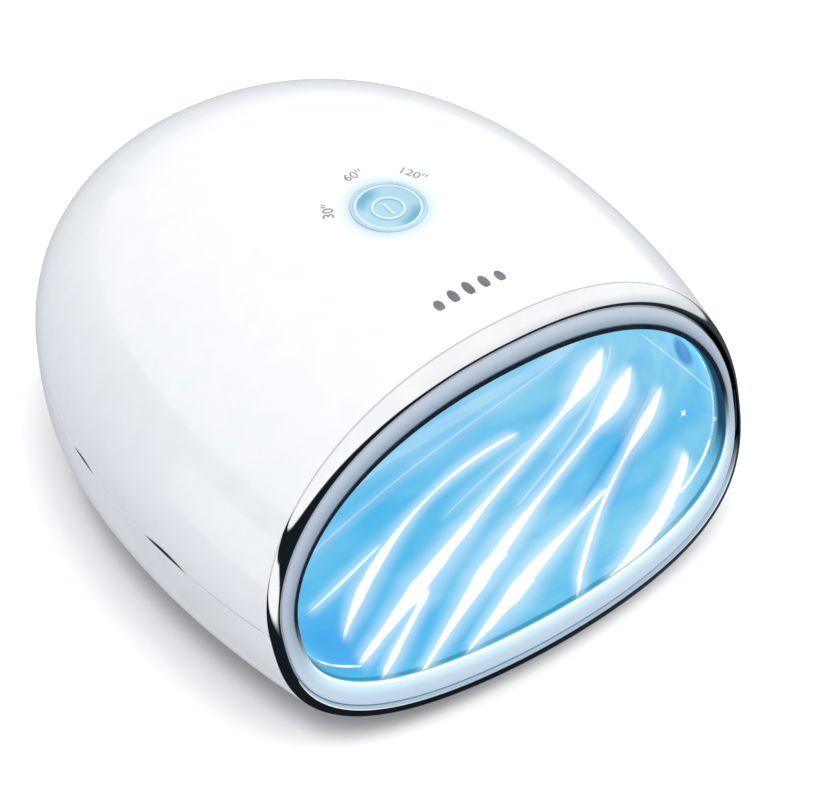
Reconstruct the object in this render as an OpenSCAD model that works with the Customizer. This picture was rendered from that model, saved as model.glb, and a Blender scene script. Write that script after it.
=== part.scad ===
// Dome lamp that cures gel under ultraviolet LEDs.
// Z is up, the table is z = 0, +X is to the right and the opening faces -Y.
// Heights inside the modules are measured from the belt, where the two shells meet.

/* [Housing] */
// Width across the widest part of the dome
housing_w = 180; // [172:1:196]
// Length of the shells along the middle, from the bezel to the back
shell_l = 192; // [184:1:206]
// Height of the dome above the belt seam
dome_h = 63; // [62:0.5:68]
// Depth of the belly below the belt seam, before its flat is cut
belly_h = 37.5; // [37:0.5:40]
// Height of the belt seam above the table
belt_z = 37; // [36.5:0.1:38]
// Wall thickness of both shells
shell_t = 2.5; // [2.2:0.1:2.8]

/* [Front opening] */
// Width across the outside of the face ring
face_w = 157; // [154:1:160]
// Height of the face ring above the belt
face_up = 53.6; // [53:0.1:55]
// Depth of the face ring below the belt
face_dn = 30.7; // [30:0.1:31.5]
// Backward lean of the front, in degrees
face_lean = 19.9; // [18:0.1:22]
// How far the sides of the front sweep back
face_sweep = 12.7; // [11:0.1:14]
// How far the top and bottom of the front sweep back
face_crown = 2.8; // [2:0.1:3.5]
// Width of the chrome band at the sides
band_side = 3.1; // [3:0.1:3.6]
// Width of the chrome band at the top
band_top = 6.5; // [6:0.1:7]
// Width of the chrome band at the bottom
band_foot = 3.4; // [3.2:0.1:3.8]
// Width of the face ring at the sides
ring_side = 4.2; // [4:0.1:4.6]
// Width of the face ring at the top
ring_top = 6.3; // [6:0.1:6.6]
// Width of the face ring at the bottom
ring_foot = 7.1; // [6.8:0.1:7.4]

/* [Reflector] */
// Depth of the mirrored cavity
cavity_l = 150; // [140:1:152]
// Wall thickness of the reflector
reflector_t = 1.2; // [1:0.1:1.4]

/* [Button] */
// Distance of the button behind the bezel seam
button_back = 76.7; // [74:0.1:80]
// Radius of the light ring round the button
button_r = 10.6; // [10.2:0.1:11]
// Travel of the button
button_travel = 0.5; // [0.3:0.1:0.6]
// Radius of the circle of timer light pipes
timer_r = 15.5; // [15.2:0.1:16]

/* [Power inlet] */
// Radius of the centre pin
jack_pin_r = 1.05; // [0.8:0.05:1.25]
// Radius of the inlet's hole for the plug's barrel
jack_bore_r = 2.8; // [2.75:0.05:3]
// Length of the free pin
jack_pin_l = 9; // [8:0.5:9.5]

/* [Feet] */
// Radius of a rubber foot
foot_r = 7; // [6:0.5:8]
// How far a foot stands out of the belly
foot_h = 1.5; // [1.2:0.1:1.8]

/* [Hidden] */

// Curve exponents: a bigger number is squarer.
roof_pow_front = 1.81;
roof_side_pow_front = 2.13;
belly_pow_front = 3.04;
belly_side_pow_front = 5;
roof_pow_back = 2.08;
belly_pow_back = 4.86;
// The same for the way the sides, the roof and the belly close towards the back.
side_curve = [2.36, 2.27];
roof_curve = [2.2, 2.22];
belly_curve = [2.38, 1.94];
// Station of the widest and of the highest section, as a share of the length.
widest_at = 0.37;
highest_at = 0.4;
// The front's lean fades towards the back with this power.
lean_fade = 3;

seam_gap = 0.25;
seam_d = 0.93;
lip_h = 1.6;
face_a = face_w / 2;
half_w = housing_w / 2;
flat_z = foot_h - belt_z;

stations = 28;
roof_cols = 36;
belly_cols = 30;
ring_cols = 64;
cavity_stations = 16;

function mix(a, b, k) = a + (b - a) * k;
// Grows from front to most at station `at`, then closes along the squared curve c.
function swell(s, front, most, at, c) =
    s <= at ? most - (most - front) * pow((at - s) / at, 2)
    : most * pow(max(0, 1 - pow((s - at) / (1 - at), c[0])), 1 / c[1]);
function lean(x, z) = z * tan(face_lean) + face_sweep * pow(x / face_a, 2)
    + face_crown * pow(z / face_up, 2);
// One point of a squared oval: |x / w| ^ n_x + |z / h| ^ n_z = 1, with its own height up and down.
function oval(w, up, dn, a, up_x, up_z, dn_x, dn_z) = let(
    n_x = sin(a) >= 0 ? up_x : dn_x,
    n_z = sin(a) >= 0 ? up_z : dn_z,
    k = pow(abs(cos(a)), n_x) + pow(abs(sin(a)), n_z))
    [w * cos(a) / pow(k, 1 / n_x), (sin(a) >= 0 ? up : dn) * sin(a) / pow(k, 1 / n_z)];

// Front rings. Place 0 is the face ring's outer edge, 1 is the bezel seam and
// -1 is the edge of the opening. Depth runs back from the face.
function front_oval(g, a) = oval(
    face_a + g * (g > 0 ? band_side : ring_side),
    face_up + g * (g > 0 ? band_top : ring_top),
    face_dn + g * (g > 0 ? band_foot : ring_foot),
    a, roof_side_pow_front, roof_pow_front, belly_side_pow_front, belly_pow_front);
function front_raw(g, d, a) = let(p = front_oval(g, a)) [p[0], d + lean(p[0], p[1]), p[1]];

// Depth of the chrome band's crowned face at place g: a round outer half and a rolled-in edge.
crest_g = 0.35;
crest_h = 1.5;
edge_roll = 0.8;
function band_d(g) = seam_d - 0.05 - crest_h + (g > crest_g
    ? crest_h * (1 - sqrt(1 - pow((g - crest_g) / (1 - crest_g), 2)))
    : edge_roll * pow((crest_g - g) / crest_g, 2));

// The front's lowest lip is the foremost point; the origin is halfway to the back.
foremost = min([for (a = [180 : 5 : 360], g = [0.3, 0.5, 0.7, 1]) front_raw(g, band_d(g), a)[1]]);
face_y = -(foremost + seam_d + shell_l) / 2;

function front_pt(g, d, a) = let(p = front_raw(g, d, a)) [p[0], face_y + p[1], p[2]];

// Body skin: s runs from the bezel seam to the back, t is the depth below the skin.
function body_pt(s, a, t) = let(
    w = swell(s, face_a + band_side - t, half_w - t, widest_at, side_curve),
    up = swell(s, face_up + band_top - t, dome_h - t, highest_at, roof_curve),
    dn = swell(s, face_dn + band_foot - t, belly_h - t, highest_at, belly_curve),
    p = oval(w, up, dn, a,
        mix(roof_side_pow_front, roof_pow_back, s), mix(roof_pow_front, roof_pow_back, s),
        mix(belly_side_pow_front, belly_pow_back, s), mix(belly_pow_front, belly_pow_back, s)))
    [p[0], face_y + seam_d + s * (shell_l - t) + lean(p[0], p[1]) * pow(1 - s, lean_fade),
     max(p[1], flat_z + t)];

// Mirrored cavity: r runs from its front edge to its back, t is the depth outwards.
cavity_g = -1.15;
cavity_d = 4.9;
cavity_a = face_a + cavity_g * ring_side;
cavity_up = face_up + cavity_g * ring_top;
cavity_dn = face_dn + cavity_g * ring_foot;
cavity_most_at = 0.3;
cavity_side_grow = 2;
cavity_foot_grow = 1;
cavity_side_curve = [2.6, 2.2];
cavity_roof_curve = [4, 2.2];
cavity_foot_curve = [5, 2.4];
cavity_roof_side_pow = 2.4;
cavity_roof_pow = 2.5;
cavity_foot_pow = 3.6;
function cavity_pt(r, a, t) = let(
    out = t * (r < 1 ? 1 : 0),
    w = out + swell(r, cavity_a, cavity_a + cavity_side_grow, cavity_most_at, cavity_side_curve),
    up = out + swell(r, cavity_up, cavity_up, cavity_most_at, cavity_roof_curve),
    dn = out + swell(r, cavity_dn, cavity_dn + cavity_foot_grow, cavity_most_at, cavity_foot_curve),
    k = min(1, r / cavity_most_at),
    p = oval(w, up, dn, a,
        mix(roof_side_pow_front, cavity_roof_side_pow, k), mix(roof_pow_front, cavity_roof_pow, k),
        belly_side_pow_front, mix(belly_pow_front, cavity_foot_pow, k)))
    [p[0], face_y + cavity_d + r * (cavity_l + t) + lean(p[0], p[1]) * pow(1 - r, lean_fade),
     p[1]];

// Two triangles for a quad, leaving out a triangle with a repeated corner.
function tri(a, b, c) = a == b || b == c || a == c ? [] : [[a, b, c]];
function quad(a, b, c, d) = concat(tri(a, b, c), tri(a, c, d));

// Closed skin of a strip: every station has a row of outer and a row of inner points.
// With close_back the last station's points meet on the middle line, so that the
// first `rims` points at each end keep to themselves and all the others are one point.
module strip_solid(outer, inner, outer_rims, inner_rims, close_back) {
    n = len(outer[0]);
    m = len(outer);
    function end_col(c, rims) = min(c, n - 1 - c, rims);
    function id_o(i, c) = i * 2 * n + (i == m - 1 && close_back ? end_col(c, outer_rims) : c);
    function id_i(i, c) = i * 2 * n + n
        + (i == m - 1 && close_back ? end_col(c, inner_rims) : c);
    faces = [
        for (i = [0 : m - 2], c = [0 : n - 2]) each quad(
            id_o(i, c), id_o(i, c + 1), id_o(i + 1, c + 1), id_o(i + 1, c)),
        for (i = [0 : m - 2], c = [0 : n - 2]) each quad(
            id_i(i, c), id_i(i + 1, c), id_i(i + 1, c + 1), id_i(i, c + 1)),
        for (i = [0 : m - 2]) each quad(id_o(i, 0), id_o(i + 1, 0), id_i(i + 1, 0), id_i(i, 0)),
        for (i = [0 : m - 2]) each quad(
            id_o(i, n - 1), id_i(i, n - 1), id_i(i + 1, n - 1), id_o(i + 1, n - 1)),
        for (c = [0 : n - 2]) each quad(id_o(0, c), id_i(0, c), id_i(0, c + 1), id_o(0, c + 1)),
        if (!close_back) for (c = [0 : n - 2]) each quad(
            id_o(m - 1, c), id_o(m - 1, c + 1), id_i(m - 1, c + 1), id_i(m - 1, c))];
    used = [for (i = [0 : m - 1]) each concat(outer[i], inner[i])];
    polyhedron(points = used, faces = faces, convexity = 10);
}

// Closed ring: the cross-section's corners [place, depth] swept round the front.
module front_ring(section) {
    n = len(section);
    points = [for (i = [0 : ring_cols - 1], q = section)
        front_pt(q[0], q[1], 360 * i / ring_cols)];
    faces = [for (i = [0 : ring_cols - 1], c = [0 : n - 1])
        let(j = (i + 1) % ring_cols, e = (c + 1) % n)
        each quad(i * n + c, j * n + c, j * n + e, i * n + e)];
    polyhedron(points = points, faces = faces, convexity = 10);
}

module at_belt() {
    translate([0, 0, belt_z]) children();
}

// Small pan-head screws hold the boards and the clamp plate.
screw_r = 0.88;
screw_head_r = 1.9;
screw_head_h = 1.2;

// Levels and places used by more than one piece.
back_y = face_y + seam_d + shell_l;
button_y = face_y + button_back;
light_ring_in = button_r - 0.92;
cap_r = light_ring_in - 0.08;
holder_z = dome_h - 6.1;
holder_t = 1.6;
ring_flange_z = dome_h - 4.45;
board_z = dome_h - 11.4;
board_t = 1.6;
board_top = board_z + board_t;
switch_h = 3.2;
plunger_r = 1.68;
plunger_top = board_top + switch_h + 1.15;
cap_foot = plunger_top + 0.05;
roof_board_z = cavity_up + 1.9;
timer_angles = [30, 90, 150];
board_bosses = [for (x = [-18, 18], y = [-23, 23]) [x, button_y + y]];
holder_tab_x = 20.5;
holder_bosses = [for (x = [-holder_tab_x, holder_tab_x]) [x, button_y]];
roof_led_places = [for (x = [-24, 0, 24], y = [-48, -24, 0]) [x, y]];
roof_posts = [for (x = [-32, 32], y = [-54, 6]) [x, y]];
side_led_shifts = [-16, 0, 16];
// Shift and foot level of the posts of a side board.
side_posts = [[-23, -1.2], [23, -3.2]];
side_y = -24;
side_z = 13;
side_tilt = 74;
side_out = 75.6;
housing_bosses = [[70, 32, 28.5], [-70, 32, 28.5], [42, 66, 36], [-42, 66, 36]];
// The cavity's floor is a separate piece between two angles of its section.
floor_a0 = 232.2;
floor_a1 = 307.8;
floor_gap_a = 0.4;
floor_posts = [for (x = [-30, 30], y = [face_y + 78, face_y + 100]) [x, y]];
floor_wall = -cavity_dn - cavity_foot_grow - 0.35;
floor_boss = floor_wall - 3.35;
foot_places = [for (x = [-46, 46], y = [-54, 30]) [x, y]];
slot_places = [[0.24, 21], [0.485, 15]];
slot_h = 1.5;
inlet_z = -12;
inlet_y = back_y - 12;
inlet_nose_r = 4.6;
inlet_root = jack_pin_l + 0.8;
cradle_y = inlet_y - 21;

// Station spacing that is closer towards the back, where the skin closes.
function stations_of(n) = [for (i = [0 : n]) 1 - pow(1 - i / n, 1.9)];
function skin_row(s, a0, a1, n, t) = [for (k = [0 : n]) body_pt(s, mix(a0, a1, k / n), t)];
function at_z(p, z) = [p[0], p[1], z];
function flip(p) = [-p[0], p[1], p[2]];
function lower(p, z) = [p[0], p[1], min(p[2], z)];

// The dome's rim has a tongue on its inner half that drops behind the belly's rim.
function dome_outer(s) = let(m = (body_pt(s, 0, 0) + body_pt(s, 0, shell_t)) / 2,
    low = at_z(m, -lip_h), top = at_z(m, 0))
    [low, top, each skin_row(s, 0, 180, roof_cols, 0), flip(top), flip(low)];
function dome_inner(s) = let(low = at_z(body_pt(s, 0, shell_t), -lip_h))
    [low, each skin_row(s, 2, 178, roof_cols + 2, shell_t), flip(low)];

// The belly's rim is stepped down on its inner half to take the tongue.
function belly_outer(s) = [for (p = skin_row(s, 180, 360, belly_cols, 0)) lower(p, -seam_gap)];
function belly_inner(s) = let(m = mix(body_pt(s, 0, 0), body_pt(s, 0, shell_t), 0.45),
    step = -lip_h - 0.25, top = at_z(m, -seam_gap), mid = at_z(m, step),
    low = at_z(body_pt(s, 0, shell_t), step), k = belly_cols - 4, a = 180 / k)
    [flip(top), flip(mid), flip(low),
     for (p = skin_row(s, 180 + a, 360 - a, k - 2, shell_t)) lower(p, step), low, mid, top];

// A round boss, and the blind screw hole for its lower end.
module boss(z0, z1, r) {
    translate([0, 0, z0]) cylinder(r = r, h = z1 - z0, $fn = 40);
}
module pilot(z0, depth, r) {
    translate([0, 0, z0 - 0.5]) cylinder(r = r, h = depth + 0.5, $fn = 24);
}

// Lens-shaped slot in the dome's rim, seen from the side.
module seam_slot(s, len) {
    r = (len * len / 4 + slot_h * slot_h) / (2 * slot_h);
    y = face_y + seam_d + s * shell_l + lean(half_w, 0) * pow(1 - s, lean_fade);
    translate([-half_w - 5, y, 0]) rotate([90, 0, 90]) linear_extrude(height = housing_w + 10)
        intersection() {
            translate([0, slot_h - r]) circle(r = r, $fn = 128);
            translate([-len / 2, -lip_h - 1]) square([len, lip_h + 1 + slot_h]);
        }
}

module top_shell() {
    s = stations_of(stations);
    color("white") at_belt() difference() {
        union() {
            strip_solid([for (k = s) dome_outer(k)], [for (k = s) dome_inner(k)], 2, 1, true);
            for (p = board_bosses) translate(p) boss(board_top, dome_h - 2.4, 2.6);
            for (p = holder_bosses) translate(p) boss(holder_z + holder_t, dome_h - 2.4, 2.6);
            for (p = housing_bosses) translate([p[0], p[1], 0]) boss(0, p[2], 3.5);
        }
        translate([0, button_y, dome_h - 5]) cylinder(r = button_r + 0.15, h = 10, $fn = 96);
        for (p = board_bosses) translate(p) pilot(board_top, 4.5, screw_r + 0.04);
        for (p = holder_bosses) translate(p) pilot(holder_z + holder_t, 1.8, screw_r + 0.04);
        for (p = housing_bosses) translate([p[0], p[1], 0]) pilot(0, 9, 1.17);
        for (q = slot_places) seam_slot(q[0], q[1]);
    }
}

// Height of the middle of the belly's wall on the centre line, behind the feet.
function belly_mid(y) = shell_t / 2 - swell((y - face_y - seam_d) / shell_l,
    face_dn + band_foot, belly_h, highest_at, belly_curve);

module bottom_shell() {
    s = stations_of(stations);
    color("white") at_belt() difference() {
        union() {
            strip_solid([for (k = s) belly_outer(k)], [for (k = s) belly_inner(k)], 0, 2, true);
            for (p = housing_bosses) translate([p[0], p[1], 0]) boss(-27, -seam_gap, 3.5);
            for (p = floor_posts) translate(p) boss(flat_z + 1, floor_boss - 0.1, 3);
            for (p = foot_places) translate(p) boss(flat_z, flat_z + 3, foot_r + 1.5);
            translate([-5, 0, 0]) rotate([90, 0, 90]) linear_extrude(height = 10)
                polygon([[cradle_y, belly_mid(cradle_y)], [cradle_y + 10, belly_mid(cradle_y + 10)],
                    [cradle_y + 10, inlet_z - 5.6], [cradle_y, inlet_z - 5.6]]);
        }
        for (p = housing_bosses) translate([p[0], p[1], flat_z - 1])
            cylinder(r = 2.6, h = 14, $fn = 32);
        for (p = housing_bosses) translate([p[0], p[1], flat_z - 1])
            cylinder(r = 1.4, h = 60, $fn = 32);
        for (p = floor_posts) translate([p[0], p[1], flat_z - 1])
            cylinder(r = 2.3, h = 4, $fn = 32);
        for (p = floor_posts) translate([p[0], p[1], flat_z - 1])
            cylinder(r = 1.1, h = 40, $fn = 32);
        for (p = foot_places) translate([p[0], p[1], flat_z - 1])
            cylinder(r = foot_r + 0.1, h = 2, $fn = 64);
        translate([0, inlet_y - 8, inlet_z]) rotate([-90, 0, 0])
            cylinder(r = inlet_nose_r + 0.1, h = 30, $fn = 48);
    }
}

// Chrome ring round the front, with a ledge for the face ring and a collar in the shells.
module front_bezel() {
    band = [for (g = [1, 0.98, 0.93, 0.82, 0.68, 0.5, crest_g, 0.15, 0]) [g, band_d(g)]];
    section = concat(band, [[0, 1.5], [-0.8, 1.5], [-0.8, 3], [-0.3, 3], [-0.3, 9], [0.1, 9],
        [0.1, seam_d - 0.05]]);
    color("silver") at_belt() front_ring(section);
}

// Satin ring that faces the opening and turns in round its edge.
module face_ring() {
    section = [[-0.02, 0.3], [-0.12, 0.05], [-0.5, -0.1], [-0.88, 0], [-1.02, 0.3], [-1.08, 0.9],
        [-1.08, 4.4], [-0.88, 4.4], [-0.88, 1.45], [-0.02, 1.45]];
    color("lightsteelblue") at_belt() front_ring(section);
}

// Strip of the mirrored cavity between two angles, with its front flange.
module cavity_strip(a0, a1, cols) {
    ring = [for (k = [0 : cols]) mix(a0, a1, k / cols)];
    r = [for (i = [1 : cavity_stations]) 1 - pow(1 - i / cavity_stations, 1.9)];
    inner = [[for (a = ring) front_pt(-0.4, cavity_d, a)],
        [for (a = ring) cavity_pt(0, a, 0)], for (k = r) [for (a = ring) cavity_pt(k, a, 0)]];
    outer = [[for (a = ring) front_pt(-0.4, cavity_d + 1, a)],
        [for (a = ring) cavity_pt(1 / cavity_l, a, reflector_t)],
        for (k = r) [for (a = ring) cavity_pt(k, a, reflector_t)]];
    strip_solid(outer, inner, 0, 0, true);
}

// Frame on the wall of the cavity: +Z points away from the cavity.
module on_side(side) {
    translate([side * side_out, side_y, side_z]) rotate([0, side * side_tilt, 0]) children();
}

module reflector_dome() {
    color("lightskyblue") at_belt() difference() {
        union() {
            cavity_strip(floor_a1 + floor_gap_a - 360, floor_a0 - floor_gap_a, 52);
            for (p = roof_posts) translate(p) boss(cavity_up - 2.4, roof_board_z, 3);
            for (k = [-1, 1], p = side_posts) on_side(k) translate([0, p[0], 0]) boss(p[1], 1.6, 3);
        }
        for (p = roof_led_places) translate([p[0], p[1], 30]) cylinder(r = 3.3, h = 30, $fn = 40);
        for (k = [-1, 1], y = side_led_shifts) on_side(k) translate([0, y, -6])
            cylinder(r = 3.3, h = 12, $fn = 40);
        for (p = roof_posts) translate([p[0], p[1], 0]) pilot(roof_board_z - 2.4, 3, screw_r + 0.04);
        for (k = [-1, 1], p = side_posts) on_side(k) translate([0, p[0], 0])
            pilot(0.5, 2, screw_r + 0.04);
    }
}

module reflector_floor() {
    color("lightskyblue") at_belt() difference() {
        union() {
            cavity_strip(floor_a0, floor_a1, 12);
            for (p = floor_posts) translate(p) boss(floor_boss, floor_wall, 3);
        }
        for (p = floor_posts) translate(p) pilot(floor_boss, 3.2, screw_r + 0.04);
    }
}

// Pan-head screw along Z, its head below z = 0 and its shank above.
module pan_screw(head_r, head_h, shank_r, shank_l) {
    difference() {
        translate([0, 0, -head_h]) cylinder(r = head_r, h = head_h, $fn = 32);
        translate([-head_r, -0.25, -head_h - 1]) cube([2 * head_r, 0.5, 1.5]);
    }
    cylinder(r = shank_r, h = shank_l, $fn = 24);
}

module reflector_screws() {
    color("gray") at_belt() for (p = floor_posts) translate([p[0], p[1], flat_z + 3])
        pan_screw(screw_head_r, screw_head_h, screw_r, floor_boss + 3.1 - flat_z - 3);
}

// Flat board with round holes.
module board(w, l, t, holes, hole_r) {
    difference() {
        translate([-w / 2, -l / 2, 0]) cube([w, l, t]);
        for (p = holes) translate([p[0], p[1], -1]) cylinder(r = hole_r, h = t + 2, $fn = 24);
    }
}

module roof_led_board() {
    color("darkgreen") at_belt() translate([0, -24, roof_board_z + 0.05])
        board(70, 68, board_t, [for (p = roof_posts) [p[0], p[1] + 24]], 1.1);
}

module side_board(side) {
    color("darkgreen") at_belt() on_side(side) translate([0, 0, 1.65])
        board(14, 54, board_t, [for (p = side_posts) [0, p[0]]], 1.1);
}
module left_led_board() { side_board(-1); }
module right_led_board() { side_board(1); }

// Domed emitter that hangs below its board at z = 0 and pokes into the cavity.
module emitter(depth) {
    r = 3;
    rotate_extrude($fn = 48) polygon([[0, 0], [r, 0], [r, -depth + r * 0.6],
        for (a = [15 : 15 : 75]) [r * cos(a), -depth + r * 0.6 - r * 0.6 * sin(a)], [0, -depth]]);
}

module roof_leds() {
    color("mediumpurple") at_belt() for (p = roof_led_places)
        translate([p[0], p[1], roof_board_z]) emitter(roof_board_z - cavity_up + 2.4);
}
module side_leds(side) {
    color("mediumpurple") at_belt() on_side(side) for (y = side_led_shifts)
        translate([0, y, 1.6]) emitter(5.2);
}
module left_leds() { side_leds(-1); }
module right_leds() { side_leds(1); }

module roof_board_screws() {
    color("gray") at_belt() for (p = roof_posts)
        translate([p[0], p[1], roof_board_z + board_t + 0.1]) rotate([180, 0, 0])
            pan_screw(screw_head_r, screw_head_h, screw_r, 4.5);
}
module side_board_screws() {
    color("gray") at_belt() for (k = [-1, 1], p = side_posts) on_side(k)
        translate([0, p[0], 1.7 + board_t]) rotate([180, 0, 0])
            pan_screw(screw_head_r, screw_head_h, screw_r, 3.2);
}

// Dished cap with a raised ring and bar, a guide skirt, a stop flange and a stem.
module button_cap() {
    top = dome_h - 0.1;
    foot = ring_flange_z - 0.05;
    color("paleturquoise") at_belt() translate([0, button_y, 0]) {
        rotate_extrude($fn = 96) polygon([[0, cap_foot], [2.2, cap_foot], [2.2, top - 2.6],
            [8.2, top - 2.6], [8.2, foot], [8.2, foot - 0.75], [10.3, foot - 0.75],
            [10.3, foot], [cap_r, foot], [cap_r, top - 0.25], [cap_r - 0.25, top],
            [cap_r - 0.7, top], [cap_r - 0.9, top - 0.3], [4.9, top - 0.75], [4.8, top - 0.45],
            [4, top - 0.45], [3.9, top - 0.85], [0, top - 1]]);
        translate([-0.4, -2.6, top - 1.2]) cube([0.8, 5.2, 0.75]);
    }
}

// Clear ring that guides the cap and glows round it.
module button_light_ring() {
    color("azure") at_belt() translate([0, button_y, 0]) rotate_extrude($fn = 96)
        polygon([[light_ring_in, ring_flange_z], [13.1, ring_flange_z],
            [13.1, ring_flange_z + 1.2], [button_r, ring_flange_z + 1.2],
            [button_r, dome_h - 0.15], [button_r - 0.2, dome_h + 0.05],
            [light_ring_in + 0.2, dome_h + 0.05], [light_ring_in, dome_h - 0.15]]);
}

// Plate that clamps the light ring under the dome and carries the light pipes.
module button_holder() {
    color("gainsboro") at_belt() translate([0, button_y, holder_z]) difference() {
        union() {
            cylinder(r = 18.2, h = holder_t - 0.05, $fn = 96);
            for (x = [-holder_tab_x, holder_tab_x]) translate([x, 0, 0])
                cylinder(r = 2.5, h = holder_t - 0.05, $fn = 40);
            translate([-holder_tab_x, -2.5, 0]) cube([2 * holder_tab_x, 5, holder_t - 0.05]);
        }
        translate([0, 0, -1]) cylinder(r = 10.8, h = 5, $fn = 96);
        for (a = timer_angles) rotate(a) translate([timer_r, 0, -1])
            cylinder(r = 1.65, h = 5, $fn = 32);
        for (x = [-holder_tab_x, holder_tab_x]) translate([x, 0, -1])
            cylinder(r = 1.1, h = 5, $fn = 24);
    }
}

module button_holder_screws() {
    color("gray") at_belt() for (p = holder_bosses) translate([p[0], p[1], holder_z - 0.05])
        pan_screw(screw_head_r, screw_head_h, screw_r, 3);
}

module tact_switch() {
    color("dimgray") at_belt() translate([0, button_y, board_top + 0.02]) difference() {
        union() {
            translate([-3.1, -3.1, 0]) cube([6.2, 6.2, switch_h - 0.02]);
            for (x = [-4.2, 3], y = [-2.6, 1.6]) translate([x, y, 0]) cube([1.2, 1, 0.6]);
        }
        translate([0, 0, 0.8]) cylinder(r = plunger_r + 0.07, h = 5, $fn = 40);
    }
}

module switch_plunger() {
    z0 = board_top + 0.8 + button_travel + 0.2;
    color("black") at_belt() translate([0, button_y, 0]) rotate_extrude($fn = 48)
        polygon([[0, z0], [plunger_r, z0], [plunger_r, plunger_top - 0.3],
            [plunger_r - 0.3, plunger_top], [0, plunger_top]]);
}

module control_board() {
    color("darkgreen") at_belt() translate([0, button_y + 1.5, board_z - 0.03])
        board(43, 55, board_t, [for (p = board_bosses) [p[0], p[1] - button_y - 1.5]], 1.1);
}

module control_board_screws() {
    color("gray") at_belt() for (p = board_bosses) translate([p[0], p[1], board_z - 0.08])
        pan_screw(screw_head_r, screw_head_h, screw_r, 5.6);
}

// Small square package with a row of legs on two sides.
module timer_chip() {
    color("black") at_belt() translate([0, button_y - 12, board_top]) {
        translate([-4, -2.5, 0.1]) cube([8, 5, 1.3]);
        for (x = [-3.2 : 1.28 : 3.2], y = [-3.3, 2.5]) translate([x - 0.2, y, 0])
            cube([0.4, 0.8, 0.5]);
    }
}

// Drum-core inductor, standing.
module driver_coil() {
    color("sienna") at_belt() translate([-12, button_y - 14, board_top]) rotate_extrude($fn = 48)
        polygon([[0, 0.02], [4, 0.02], [4, 0.8], [3.2, 0.9], [3.2, 2.8], [4, 2.9], [4, 3.6], [0, 3.6]]);
}

module smoothing_capacitors() {
    color("navy") at_belt() for (x = [10.5, 16.5]) translate([x, button_y - 14, board_top])
        rotate_extrude($fn = 40) polygon([[0, 0.02], [2.3, 0.02], [2.3, 0.9], [2.1, 1.1],
            [2.3, 1.3], [2.3, 3], [2, 3.3], [0, 3.3]]);
}

// Three timer lamps under the light pipes and two lamps behind the button.
module indicator_leds() {
    color("white") at_belt() translate([0, button_y, board_top + 0.02]) {
        for (a = timer_angles) rotate(a) translate([timer_r - 1, -0.8, 0]) cube([2, 1.6, 0.8]);
        for (x = [-7, 7]) translate([x - 1, -0.8, 0]) cube([2, 1.6, 0.8]);
    }
}

module timer_light_pipes() {
    color("azure") at_belt() for (a = timer_angles) translate([0, button_y, 0]) rotate(a)
        translate([timer_r, 0, 0]) rotate_extrude($fn = 40)
            polygon([[0, board_top + 1], [1.6, board_top + 1], [1.6, holder_z + holder_t],
                [2.2, holder_z + holder_t], [2.2, holder_z + holder_t + 0.45],
                [0, holder_z + holder_t + 0.45]]);
}

// Wire sockets: one for the power wires at the back, one for each side board.
socket_y = button_y + 22.5;
side_socket_y = button_y + 8;
module wire_sockets() {
    color("ivory") at_belt() {
        translate([-4, socket_y, board_top + 0.02]) difference() {
            cube([8, 5, 4]);
            for (x = [2.4, 5.6]) translate([x, 2, 2]) rotate([-90, 0, 0])
                cylinder(r = 0.85, h = 4, $fn = 24);
        }
        for (k = [-1, 1]) translate([k * 18.8, side_socket_y, board_top + 0.02]) difference() {
            translate([-2.2, -3, 0]) cube([4.4, 6, 3.4]);
            for (y = [-1.2, 1.2]) translate([0, y, 1.7]) rotate([0, k * 90, 0])
                cylinder(r = 0.65, h = 4, $fn = 24);
        }
    }
}

// Round wire along a curve with four control points that lie in one plane with normal b.
function curve(p, u) = pow(1 - u, 3) * p[0] + 3 * pow(1 - u, 2) * u * p[1]
    + 3 * (1 - u) * u * u * p[2] + u * u * u * p[3];
module wire(p, b, r) {
    n = 18;
    sides = 10;
    points = [for (i = [0 : n]) let(u = i / n, d = curve(p, u + 0.01) - curve(p, u - 0.01),
        out = cross(b, d / norm(d))) for (k = [0 : sides - 1])
        curve(p, u) + r * (cos(360 * k / sides) * b + sin(360 * k / sides) * out)];
    faces = [for (i = [0 : n - 1], k = [0 : sides - 1]) let(e = (k + 1) % sides)
            each quad(i * sides + k, i * sides + sides + k, i * sides + sides + e, i * sides + e),
        [for (k = [0 : sides - 1]) k],
        [for (k = [sides - 1 : -1 : 0]) n * sides + k]];
    polyhedron(points = points, faces = faces, convexity = 4);
}

// Two wires from the power inlet, up behind the cavity and forward to the control board.
module power_wires() {
    z = board_top + 2.02;
    color("crimson") at_belt() for (x = [-1.6, 1.6])
        wire([[x, inlet_y - 15, inlet_z + 5.55], [x, inlet_y - 15, 35], [x, inlet_y - 28, z - 3],
            [x, socket_y + 4, z]], [1, 0, 0], 0.7);
}

// Two wires to each side board, over the shoulders of the cavity.
module led_wires() {
    z = board_top + 1.72;
    color("crimson") at_belt() for (k = [-1, 1], y = [-1.2, 1.2])
        translate([0, side_socket_y + y, 0]) wire([[k * 20, 0, z], [k * 34, 0, z + 1],
            [k * (side_out - 5.5), 0, side_z + 20], [k * (side_out - 0.6), 0, side_z + 9.4]],
            [0, 1, 0], 0.55);
}

// Inlet body with a round nose, the plug's hole and a seat for the pin.
module power_inlet() {
    color("black") at_belt() translate([0, inlet_y, inlet_z]) rotate([-90, 0, 0]) difference() {
        union() {
            translate([-5.5, -5.5, -20.5]) cube([11, 11, 12]);
            translate([0, 0, -9]) cylinder(r = inlet_nose_r, h = 9, $fn = 64);
        }
        translate([0, 0, -inlet_root]) cylinder(r = jack_bore_r, h = inlet_root + 1, $fn = 64);
        translate([0, 0, -inlet_root - 3.1]) cylinder(r = 0.72, h = 4, $fn = 32);
    }
}

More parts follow.
